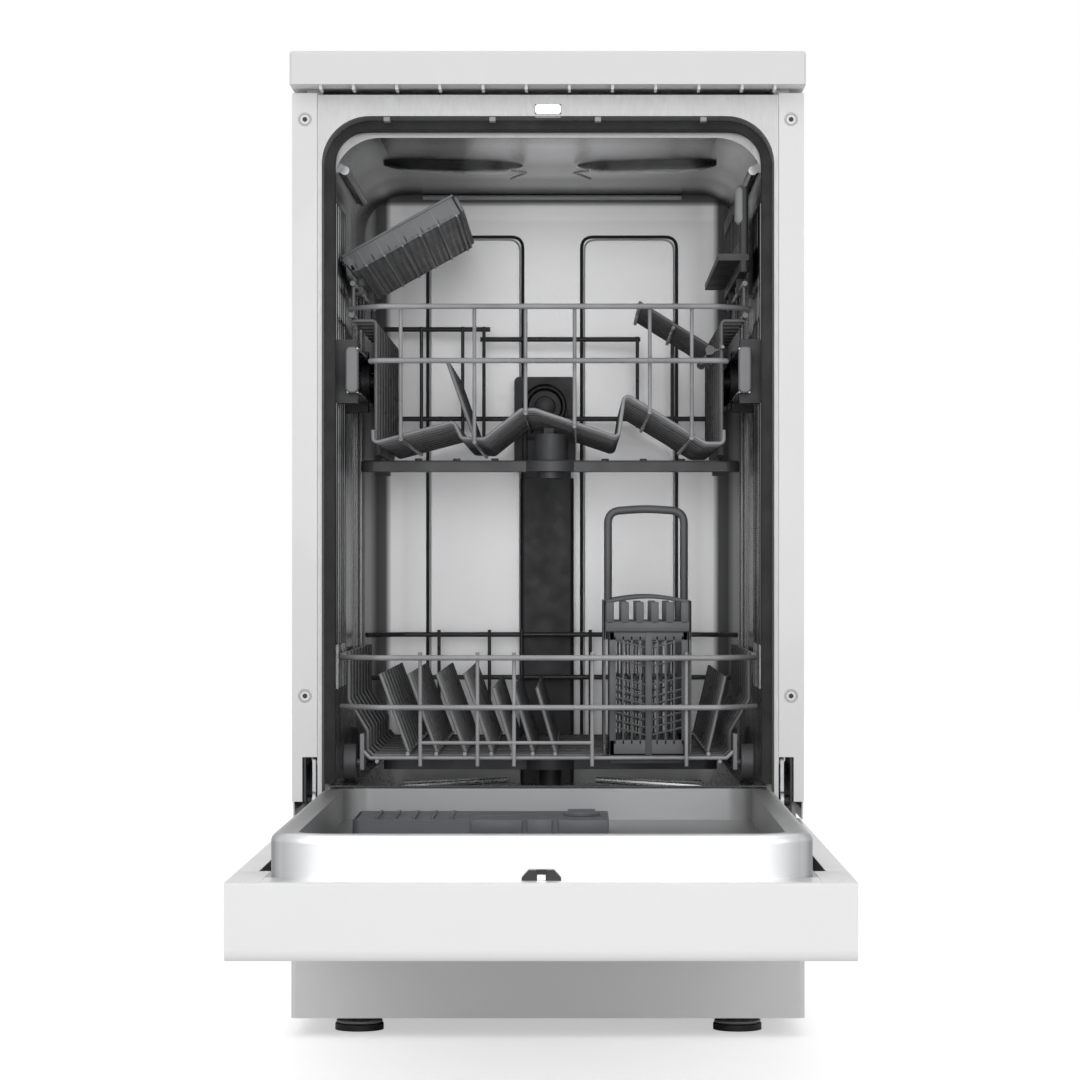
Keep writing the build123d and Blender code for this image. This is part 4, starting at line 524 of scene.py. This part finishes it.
def addWire(points, radius, closed=False, resolution=3):
    # a bent wire through the points, made a mesh
    clearSelection()
    curve = bpy.data.curves.new("wire", "CURVE")
    curve.dimensions = "3D"
    curve.bevel_depth = radius
    curve.bevel_resolution = resolution
    curve.use_fill_caps = True
    line = curve.splines.new("POLY")
    line.points.add(len(points) - 1)
    for point, place in zip(line.points, points):
        point.co = (*place, 1)
    line.use_cyclic_u = closed
    piece = bpy.data.objects.new("wire", curve)
    bpy.context.collection.objects.link(piece)
    useOnly(piece)
    bpy.ops.object.convert(target="MESH")
    return bpy.context.object


def roundedPath(points, radius, steps=5):
    # the points of a path with its inner corners rounded
    path = [Vector(points[0])]
    for before, corner, after in zip(points, points[1:], points[2:]):
        corner = Vector(corner)
        back = (Vector(before) - corner).normalized()
        on = (Vector(after) - corner).normalized()
        a, b = corner + back * radius, corner + on * radius
        for i in range(steps + 1):
            t = i / steps
            path.append(a * (1 - t) ** 2 + corner * 2 * t * (1 - t) + b * t**2)
    path.append(Vector(points[-1]))
    return path


def joinAll(pieces):
    useOnly(pieces[0])
    for piece in pieces[1:]:
        piece.select_set(True)
    bpy.ops.object.join()
    return bpy.context.object


def repeat(piece, count, step):
    row = piece.modifiers.new("row", "ARRAY")
    row.use_relative_offset = False
    row.use_constant_offset = True
    row.constant_offset_displace = step
    row.count = count
    useOnly(piece)
    bpy.ops.object.modifier_apply(modifier=row.name)
    return piece


def mirrored(piece):
    # a copy on the other side of the machine
    useOnly(piece)
    bpy.ops.object.duplicate()
    copy = bpy.context.object
    copy.scale = (-1, 1, 1)
    bpy.ops.object.transform_apply(location=True, rotation=True, scale=True)
    bpy.ops.object.mode_set(mode="EDIT")
    bpy.ops.mesh.select_all(action="SELECT")
    bpy.ops.mesh.normals_make_consistent(inside=False)
    bpy.ops.object.mode_set(mode="OBJECT")
    return copy


def bothSides(piece):
    return joinAll([piece, mirrored(piece)])


# tub: pressed ridges, wall ribs and clips

ceilingRidge = {
    "near": (-0.156, flangeY + 0.22),
    "tip": -0.026,
    "width": 0.075,
    "drop": 0.0075,
    "ceiling": 0.79,
    "skin": 0.0005,
    "cuts": 7,
    "nearRun": 0.25,  # share of the length over which the near end widens
    "nearShare": 0.35,  # share of the width at the near end
    "tipRun": 0.12,
    "tipShare": 0.12,
    "slim": 0.9,
    "sweep": 0.03,  # how far the near end is swept to the front
    "flat": 0.45,  # share of the half width that stays flat
    "steep": 1.3,
}


def addCeilingRidge():
    # a long pressed hump with a pointed end towards the middle
    r = ceilingRidge
    length = r["tip"] - r["near"][0]
    low = (r["near"][0], r["near"][1], r["ceiling"] - r["drop"])
    high = (r["tip"], r["near"][1] + r["width"], r["ceiling"])
    piece = addBlock(low, high, 0)
    bpy.ops.object.mode_set(mode="EDIT")
    bpy.ops.mesh.select_all(action="SELECT")
    bpy.ops.mesh.subdivide(number_cuts=r["cuts"])
    bpy.ops.object.mode_set(mode="OBJECT")
    middle = (low[1] + high[1]) / 2
    for vertex in piece.data.vertices:
        along = (vertex.co.x - low[0]) / length
        taper = min(1.0, along / r["nearRun"] + r["nearShare"], (1 - along) / r["tipRun"] + r["tipShare"])
        across = abs(vertex.co.y - middle) / (r["width"] / 2)
        swept = r["sweep"] * (1 - along) ** 2
        vertex.co.y = middle + (vertex.co.y - middle) * taper * r["slim"] - swept
        if vertex.co.z < r["ceiling"] - r["skin"]:
            lift = max(0, across - r["flat"]) / (1 - r["flat"])
            fall = (r["ceiling"] - vertex.co.z) * (1 - lift) * min(1, taper * r["steep"])
            vertex.co.z = r["ceiling"] - fall
    smooth = piece.modifiers.new("smooth", "SUBSURF")
    smooth.levels = smooth.render_levels = 1
    applyAll(piece)
    return piece


finish(bothSides(addCeilingRidge()), "ceiling_ridges", ridgeSteel, "cabinet")

# painted highlight: a white line where the ceiling meets the back wall
rearCeilingHighlight = {"half": 0.132, "z": 0.7868, "y": flangeY + 0.5145, "radius": 0.0026}
wireEnds = [(side * rearCeilingHighlight["half"], rearCeilingHighlight["y"], rearCeilingHighlight["z"]) for side in (-1, 1)]
finish(addWire(wireEnds, rearCeilingHighlight["radius"]), "rear_ceiling_highlight", highlightPaint, "cabinet")

wallRib = {
    "x": 0.1902,
    "behind": 0.0006,
    "rise": 0.0022,
    "z": (0.34, 0.735),
    "width": 0.011,
    "edge": 0.0018,
    "rows": 5,
    "first": flangeY + 0.06,
    "pitch": 0.026,
}


def addWallRibs():
    # upright pressed ribs with rounded ends near the front of each side wall
    w = wallRib
    low = (-w["x"] - w["behind"], w["first"], w["z"][0])
    high = (-w["x"] + w["rise"], w["first"] + w["width"], w["z"][1])
    return bothSides(repeat(addBlock(low, high, w["edge"], 3), w["rows"], (0, w["pitch"], 0)))


finish(addWallRibs(), "side_wall_ribs", tubSteel, "cabinet")

cornerBead = {"x": -0.1838, "y": (flangeY + 0.09, flangeY + 0.36), "z": 0.7665, "radius": 0.0042}
wireEnds = [(cornerBead["x"], y, cornerBead["z"]) for y in cornerBead["y"]]
finish(bothSides(addWire(wireEnds, cornerBead["radius"])), "corner_beads", tubSteel, "cabinet")

clips = {
    "xs": (-0.1412, -0.0487, 0.0437, 0.1361),
    "y": (flangeY + 0.0006, flangeY + 0.0126),
    "z": (0.7995, 0.8036),
    "half": 0.0028,
}
parts = []
for x in clips["xs"]:
    low = (x - clips["half"], clips["y"][0], clips["z"][0])
    parts.append(addBlock(low, (x + clips["half"], clips["y"][1], clips["z"][1])))
finish(joinAll(parts), "gasket_clips", lightPlastic, "cabinet")

# the door seal's inner lip
lip = {
    "x": (-0.1896, 0.1896),
    "y": flangeY + 0.034,
    "z": (0.22, 0.7952),
    "corner": 0.033,
    "steps": 12,
    "radius": 0.0016,
}


def archOver(x, y, z):
    # four corners of an arch: up on the left, across the top and down on the right
    return [(x[0], y, z[0]), (x[0], y, z[1]), (x[1], y, z[1]), (x[1], y, z[0])]


outline = roundedPath(archOver(lip["x"], lip["y"], lip["z"]), lip["corner"], lip["steps"])
finish(addWire(outline, lip["radius"]), "gasket_lip", rubber, "cabinet")
print("tub details")


# upper left: cutlery tray

tray = {
    "tilt": 29,
    "corner": (-0.176, 0, 0.672),
    "front": flangeY + 0.072,
    "back": flangeY + 0.408,
    "length": 0.112,
    "height": 0.019,
    "wall": 0.002,
    "leftEdge": 0.0009,
    "lip": (0.0008, 0.0012, 0.0022),  # past the ends, past the front and down from the top
    "margin": 0.006,
    "bars": 30,
    "barZ": (0.0012, 0.003),
    "barShare": 0.45,
    "barInset": (0.001, 0.004),
    "ribs": 6,
    "rib": (0.0016, 0, 0.007),  # width, foot and top
    "strip": (0.003, 0.001, 0.0028),
    "stripsPerRib": 3,
    "teeth": 36,
    "tooth": (0.0035, 0.0045, 0.0015, 0.003),  # reach, width, foot and distance below the top
    "bead": (0.0045, 0.0125, 0.0062),  # place across, height and radius of the rounded left end
}


def tilted(piece, angle, corner):
    piece.rotation_euler = (0, math.radians(-angle), 0)
    piece.location = corner
    applyAll(piece)
    return piece


def addTray():
    t = tray
    front, back, length, height, wall = t["front"], t["back"], t["length"], t["height"], t["wall"]
    pastEnds, pastFront, lipDeep = t["lip"]
    insetX, insetY = t["barInset"]
    lipLow = (-pastEnds, front - pastFront, height - lipDeep)
    pieces = [
        addBlock((insetY, front, 0), (length, front + wall, height), softEdge),
        addBlock((insetY, back - wall, 0), (length, back, height), softEdge),
        addBlock((0, front, insetY), (wall, back, height), t["leftEdge"]),
        addBlock((length - wall, front, 0), (length, back, height), softEdge),
        addBlock(lipLow, (length + pastEnds, front + pastFront / 2, height)),
    ]
    # slotted bottom: bars across, and deep and shallow ribs from front to back
    span = back - front - 2 * t["margin"]
    barPitch = span / t["bars"]
    barLow, barHigh = t["barZ"]
    barBack = front + insetY + t["barShare"] * barPitch
    bar = addBlock((insetX, front + insetY, barLow), (length - insetX, barBack, barHigh), thinEdge)
    pieces.append(repeat(bar, t["bars"], (0, barPitch, 0)))
    stripPitch = (length - 2 * t["margin"]) / t["ribs"] / t["stripsPerRib"]
    for i in range(t["ribs"] * t["stripsPerRib"]):
        x = t["margin"] + i * stripPitch
        width, foot, top = t["rib"] if i % t["stripsPerRib"] == 0 else t["strip"]
        pieces.append(addBlock((x, front, foot), (x + width, back, top), fineEdge))
    # toothed right end
    reach, toothWidth, foot, below = t["tooth"]
    toothLow = (length, front + insetY, foot)
    tooth = addBlock(toothLow, (length + reach, front + insetY + toothWidth, height - below), softEdge)
    pieces.append(repeat(tooth, t["teeth"], (0, span / t["teeth"], 0)))
    # rounded left end
    x, z, radius = t["bead"]
    pieces.append(addRound((x, front, z), (x, back, z), radius))
    return tilted(joinAll(pieces), t["tilt"], t["corner"])


trayPiece = finish(addTray(), "cutlery_tray_shell", trayPlastic, "cutlery_tray_body")

outerRib = {
    "count": 6,
    "first": 0.014,
    "margin": 0.02,
    "rise": 0.0011,
    "width": 0.0017,
    "into": 0.0012,
    "past": 0.0005,
    "front": (0.0006, 0.0006, 0.001, 0.0003, 0.003),  # width, past, into, below and distance below the top
}


def addOuterRibs():
    # thin ribs under the tray, each turned up over its front
    o = outerRib
    front, back, height = tray["front"], tray["back"], tray["height"]
    width, past, into, below, short = o["front"]
    pitch = (tray["length"] - o["margin"]) / (o["count"] - 1)
    pieces = []
    for i in range(o["count"]):
        x = o["first"] + i * pitch
        low = (x, front - o["past"], -o["rise"])
        pieces.append(addBlock(low, (x + o["width"], back, o["into"]), fineEdge))
        low = (x, front - past, -below)
        pieces.append(addBlock(low, (x + width, front + into, height - short), hairEdge))
    return tilted(joinAll(pieces), tray["tilt"], tray["corner"])


finish(addOuterRibs(), "tray_outer_ribs", lightPlastic, "cutlery_tray_body")

clip = {
    "rows": (flangeY + 0.15, flangeY + 0.31),
    "width": 0.012,
    "rod": (-0.176, 0.664),
    "radius": 0.0056,
    "ringEdge": 0.0005,
    "armX": (-0.001, 0.005),
    "armZ": (0.004, 0.012),
}
pieces = []
x, z = clip["rod"]
for y in clip["rows"]:
    back = y + clip["width"]
    pieces.append(addRound((x, y, z), (x, back, z), clip["radius"], 28, clip["ringEdge"]))
    (left, right), (foot, top) = clip["armX"], clip["armZ"]
    pieces.append(addBlock((x + left, y, z + foot), (x + right, back, z + top), softEdge))
finish(joinAll(pieces), "tray_clips", midPlastic, "cutlery_tray_body")
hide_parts("cutlery_tray")
print("cutlery tray")


# lower right: cutlery basket

basket = {
    "x": (0.054, 0.124),
    "y": (flangeY + 0.0456, flangeY + 0.1936),
    "z": (0.242, 0.352),
    "side": 0.0022,  # thickness of each lattice
    "collar": (0.0486, 0.127),
    "collarTop": 0.3795,
    "crown": 0.0045,
}
collar = {
    "gap": (0.003, 0.0002),  # of the front and the rear side from the body
    "depth": 0.0028,
    "inset": 0.002,
    "band": 0.009,
    "slots": 5,
    "margin": 0.006,
    "post": 0.0035,
    "postFoot": 0.007,
    "below": 0.001,
    "rimInset": 0.003,
    "rimRadius": 0.0017,
    "rimSteps": 12,
}
lattice = {
    "foot": (0.007, 0.014),  # how far the lower band reaches below and above the body's foot
    "band": 0.008,
    "corner": 0.005,
    "middleHalf": 0.003,
    "middleRise": 0.0006,
    "bars": 4,
    "barPitch": 0.0075,
    "barHalf": 0.0009,
    "barZ": (0.01, 0.004),  # above the foot and below the top
    "dip": 0.004,
    "radius": 0.0009,
    "heights": [0.0215 + 0.0068 * i for i in range(6)] + [0.066 + 0.0165 * i for i in range(3)],
}
basketEnd = {
    "foot": 0.012,
    "band": (0.008, 0.009),
    "post": 0.01,
    "rim": 0.004,
    "bars": 17,
    "bar": 0.0022,
    "barFoot": 0.01,
    "below": 0.002,
    "crosses": 8,
    "cross": (0.02, 0.0218),
    "crossPitch": 0.0112,
    "inset": 0.001,
}
basketFloor = {
    "bars": 19,
    "bar": 0.004,
    "rise": 0.002,
    "strips": 5,
    "strip": (0.004, 0.003, 0.015),  # first place, width and pitch
    "stripZ": (0.0002, 0.0018),
    "wallHalf": 0.001,
    "wallBars": 10,
    "wallBar": 0.002,
    "wallPitch": 0.00755,
    "wallCrosses": (0.004, 0.036, 0.068, 0.1),
    "wallCross": 0.003,
}


def addCollarSide(y):
    # one long side of the collar: posts between slots under a crowned rim
    (x0, x1), top, rimZ = basket["collar"], basket["z"][1], basket["collarTop"] - collar["below"]
    back, inset, margin, post = y + collar["depth"], collar["inset"], collar["margin"], collar["post"]
    pieces = [addBlock((x0 + inset, y, top), (x1 - inset, back, top + collar["band"]), softEdge)]
    pitch = (x1 - x0 - 2 * margin) / collar["slots"]
    for i in range(collar["slots"] + 1):
        x = x0 + margin + i * pitch
        pieces.append(addBlock((x - post, y, top + collar["postFoot"]), (x + post, back, rimZ), softEdge))
    rim = []
    start, length = x0 + collar["rimInset"], x1 - x0 - 2 * collar["rimInset"]
    for i in range(collar["rimSteps"] + 1):
        t = i / collar["rimSteps"]
        crown = basket["crown"] * math.sin(math.pi * t)
        rim.append((start + t * length, y + collar["depth"] / 2, rimZ + crown))
    pieces.append(addWire(rim, collar["rimRadius"]))
    return pieces


def addLattice(y):
    # one long side of the body: upright bars, a middle rib and cross bars that dip to the middle
    (x0, x1), (z0, z1), back = basket["x"], basket["z"], y + basket["side"]
    middle, half, corner = (x0 + x1) / 2, lattice["middleHalf"], lattice["corner"]
    below, above = lattice["foot"]
    pieces = [
        addBlock((x0, y, z0 - below), (x1, back, z0 + above), softEdge),
        addBlock((x0, y, z1 - lattice["band"]), (x1, back, z1), softEdge),
        addBlock((x0, y, z0), (x0 + corner, back, z1), softEdge),
        addBlock((x1 - corner, y, z0), (x1, back, z1), softEdge),
        addBlock((middle - half, y - lattice["middleRise"], z0), (middle + half, back, z1), softEdge),
    ]
    barLow, barHigh = z0 + lattice["barZ"][0], z1 - lattice["barZ"][1]
    thick, dip, wireY = lattice["barHalf"], lattice["dip"], y + basket["side"] / 2
    for side in (-1, 1):
        for i in range(lattice["bars"]):
            x = middle + side * (i + 1) * lattice["barPitch"]
            pieces.append(addBlock((x - thick, y, barLow), (x + thick, back, barHigh), fineEdge))
        end = middle + side * (x1 - middle - half)
        for height in lattice["heights"]:
            z = z0 + height
            ends = [(middle, wireY, z - dip), (end, wireY, z + dip)]
            pieces.append(addWire(ends, lattice["radius"], False, 1))
    return pieces


def addEnd(x):
    # one short side: frame, upright bars and level cross bars
    e, right = basketEnd, x + basket["side"]
    (y0, y1), (z0, z1), top = basket["y"], basket["z"], basket["collarTop"]
    pieces = [
        addBlock((x, y0, z0), (right, y1, z0 + e["foot"])),
        addBlock((x, y0, z1 - e["band"][0]), (right, y1, z1 + e["band"][1])),
        addBlock((x, y0, z1), (right, y0 + e["post"], top)),
        addBlock((x, y1 - e["post"], z1), (right, y1, top)),
    ]
    bar = addBlock((x, y0, z0 + e["barFoot"]), (right, y0 + e["bar"], top - e["below"]), fineEdge)
    pieces.append(repeat(bar, e["bars"], (0, (y1 - y0 - e["bar"]) / (e["bars"] - 1), 0)))
    low, high = e["cross"]
    cross = addBlock((x, y0 + e["inset"], z0 + low), (right, y1 - e["inset"], z0 + high), fineEdge)
    pieces.append(repeat(cross, e["crosses"], (0, 0, e["crossPitch"])))
    pieces.append(addBlock((x, y0, top - e["rim"]), (right, y1, top)))
    return pieces


def addFloorAndWall():
    # slotted floor, and the barred wall between the two cells
    f = basketFloor
    (x0, x1), (y0, y1), (z0, z1) = basket["x"], basket["y"], basket["z"]
    bar = addBlock((x0, y0, z0), (x1, y0 + f["bar"], z0 + f["rise"]), thinEdge)
    pieces = [repeat(bar, f["bars"], (0, (y1 - y0 - f["bar"]) / (f["bars"] - 1), 0))]
    first, width, pitch = f["strip"]
    low, high = f["stripZ"]
    for i in range(f["strips"]):
        x = x0 + first + i * pitch
        pieces.append(addBlock((x, y0, z0 + low), (x + width, y1, z0 + high), fineEdge))
    middle, half = (y0 + y1) / 2, f["wallHalf"]
    wallLow = (x0, middle - half, z0 + f["rise"])
    wallBar = addBlock(wallLow, (x0 + f["wallBar"], middle + half, z1), fineEdge)
    pieces.append(repeat(wallBar, f["wallBars"], (f["wallPitch"], 0, 0)))
    for height in f["wallCrosses"]:
        z = z0 + height
        pieces.append(addBlock((x0, middle - half, z), (x1, middle + half, z + f["wallCross"]), fineEdge))
    return pieces


def addCutleryBasket():
    y0, y1 = basket["y"]
    side = basket["side"]
    pieces = addCollarSide(y0 - collar["gap"][0]) + addCollarSide(y1 + collar["gap"][1])
    pieces += addLattice(y0) + addLattice(y1 - side)
    pieces += addEnd(basket["collar"][0]) + addEnd(basket["collar"][1] - side)
    return joinAll(pieces + addFloorAndWall())


basketPiece = finish(addCutleryBasket(), "cutlery_basket_lattice", midPlastic, "cutlery_basket_body")

loop = {
    "x": (0.0535, 0.1225),
    "foot": 0.344,
    "shoulder": 0.46,
    "top": 0.4625,
    "corner": 0.011,
    "radius": 0.0036,
}
middle = (basket["y"][0] + basket["y"][1]) / 2
crownedTop = archOver(loop["x"], middle, (loop["foot"], loop["shoulder"]))
crownedTop.insert(2, ((loop["x"][0] + loop["x"][1]) / 2, middle, loop["top"]))
handle = addWire(roundedPath(crownedTop, loop["corner"], 8), loop["radius"], False, 5)
finish(handle, "basket_handle", midPlastic, "cutlery_basket_body")
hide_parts("cutlery_basket")
print("cutlery basket")


# tub: painted shade and painted highlight lines along the pressed outlines on the back wall, painted
# highlights on the tips of the ceiling ridges, screws and floor humps

panel = {"x": (0.03, 0.127), "z": (0.215, 0.747), "corner": 0.012, "y": flangeY + 0.5176}
# painted shade and painted highlight: a dark line and a white line along each pressed outline on the back
# wall
panelShadeAndHighlight = {
    "back_panel_shade_lines": (0, 0.0016, darkPlastic),
    "back_panel_highlights": (0.0028, 0.0009, highlightPaint),
}
for name, (inwards, radius, paint) in panelShadeAndHighlight.items():
    (x0, x1), (z0, z1) = panel["x"], panel["z"]
    corners = archOver((x0 + inwards, x1 - inwards), panel["y"], (z0, z1 - inwards))
    line = addWire(roundedPath(corners, panel["corner"], 8), radius, False, 2)
    finish(bothSides(line), name, paint, "cabinet")

# painted highlights: white lines at the pointed ends of the ceiling ridges
ridgeTipHighlight = {"x": (-0.038, -0.023), "z": (0.7815, 0.7835), "ys": (0.222, 0.258, 0.292), "radius": 0.0011}
points = []
for i, back in enumerate(ridgeTipHighlight["ys"]):
    atTip = i % 2
    points.append((ridgeTipHighlight["x"][atTip], flangeY + back, ridgeTipHighlight["z"][atTip]))
finish(bothSides(addWire(points, ridgeTipHighlight["radius"])), "ridge_tip_highlights", highlightPaint, "cabinet")

screwHole = {
    "x": -0.2127,
    "zs": (0.2965, 0.801),
    "y": (flangeY - 0.0004, flangeY + 0.001),
    "radius": 0.0021,
    "ring": 0.0046,
    "ringY": flangeY + 0.0001,
    "ringWire": 0.0005,
}


def addRing(place, radius, wire, around, section):
    # a ring that faces the front
    clearSelection()
    bpy.ops.mesh.primitive_torus_add(
        location=place,
        rotation=(math.radians(90), 0, 0),
        major_radius=radius,
        minor_radius=wire,
        major_segments=around,
        minor_segments=section,
    )
    bpy.ops.object.transform_apply(location=True, rotation=True, scale=True)
    return bpy.context.object


holes, rims = [], []
x, (front, back) = screwHole["x"], screwHole["y"]
for z in screwHole["zs"]:
    holes.append(addRound((x, front, z), (x, back, z), screwHole["radius"], 20, 0))
    rims.append(addRing((x, screwHole["ringY"], z), screwHole["ring"], screwHole["ringWire"], 36, 8))
finish(bothSides(joinAll(holes)), "screw_holes", blackPlastic, "cabinet")
finish(bothSides(joinAll(rims)), "screw_rims", lightPlastic, "cabinet")

hump = {
    "x": (-0.15, -0.045),
    "tipZ": 0.1965,
    "radius": 0.003,
    "runs": (  # near place along Y and height, and the tip's place along Y
        (flangeY + 0.42, 0.1915, flangeY + 0.452),
        (flangeY + 0.47, 0.1925, flangeY + 0.458),
    ),
}
pieces = []
for nearY, nearZ, tipY in hump["runs"]:
    ends = [(hump["x"][0], nearY, nearZ), (hump["x"][1], tipY, hump["tipZ"])]
    pieces.append(addWire(ends, hump["radius"]))
finish(bothSides(joinAll(pieces)), "floor_humps", floorSteel, "cabinet")


# duct and docking: arch, hub, side rails and cross bars

dock = {
    "x": -0.007,
    "z": 0.572,
    "front": flangeY + 0.478,
    "arch": (0.0195, 0.0034),
    "archY": 0.001,
    "hub": (0.0105, 0.001),
    "hubY": (0.005, 0.004),
    "railX": (0.0175, 0.023),
    "railY": (0.002, 0.004),
    "railFoot": 0.51,
    "barHalf": 0.019,
    "barY": 0.003,
    "bars": ((0.5535, 0.5565), (0.5385, 0.541)),
}


def addDocking():
    d = dock
    x, y, z = d["x"], d["front"], d["z"]
    before, behind = d["hubY"]
    pieces = [
        addRing((x, y - d["archY"], z), *d["arch"], 48, 12),
        addRound((x, y - before, z), (x, y + behind, z), d["hub"][0], 32, d["hub"][1]),
    ]
    inner, outer = d["railX"]
    before, behind = d["railY"]
    for left, right in ((x - outer, x - inner), (x + inner, x + outer)):
        pieces.append(addBlock((left, y - before, d["railFoot"]), (right, y + behind, z), softEdge))
    half, deep = d["barHalf"], d["barY"]
    for low, high in d["bars"]:
        pieces.append(addBlock((x - half, y - deep, low), (x + half, y + deep, high)))
    return joinAll(pieces)


finish(addDocking(), "docking_arch", blackPlastic, "cabinet")

# upper basket, right: rounded end cap of the cup shelf
shelf = {"x": (0.1668, 0.1782), "y": (flangeY + 0.072, flangeY + 0.084), "z": (0.716, 0.752), "edge": 0.0052}
cap = addBlock(*zip(shelf["x"], shelf["y"], shelf["z"]), shelf["edge"], 5)
finish(cap, "cup_shelf_cap", lightPlastic, "cup_shelf_body")

# door: the dispenser's latch with its two side tabs, and the slot under them
dispenser = {
    "front": flangeY - 0.26,
    "latch": {"x": (-0.0147, 0.0054), "y": (-0.0035, 0.012), "z": (0.1905, 0.2072)},
    "rightTab": {"x": (0.0102, 0.0505), "y": (-0.0022, 0.004), "z": (0.1935, 0.2068)},
    "leftTab": {"x": (-0.0598, -0.0184), "y": (-0.0022, 0.004), "z": (0.1935, 0.2068)},
    "slot": {"x": (-0.06, 0.0507), "y": (-0.0008, 0.003), "z": (0.1905, 0.1939)},
    "edge": 0.0012,
}


def addOnDispenser(name, edge):
    box = dispenser[name]
    low, high = [(x, dispenser["front"] + y, z) for x, y, z in zip(box["x"], box["y"], box["z"])]
    return addBlock(low, high, edge)


pieces = [addOnDispenser(name, dispenser["edge"]) for name in ("latch", "rightTab", "leftTab")]
finish(joinAll(pieces), "dispenser_latch", blueGreyPlastic, "door")
finish(addOnDispenser("slot", thinEdge), "dispenser_slot", blackPlastic, "door")

# feet: a paler ring on each pad
footRing = {"x": 0.1675, "front": flangeY + 0.042, "rear": 0.4885, "z": (0.0062, 0.0088), "radius": 0.0205}
for row in ("front", "rear"):
    for side, x in (("left", -footRing["x"]), ("right", footRing["x"])):
        y, (foot, top) = footRing[row], footRing["z"]
        ring = addRound((x, y, foot), (x, y, top), footRing["radius"], 40, softEdge)
        finish(ring, "foot_wing_" + row + "_" + side, lightPlastic, "foot_" + row + "_" + side + "_body")
print("dock, shelf, dispenser and feet")
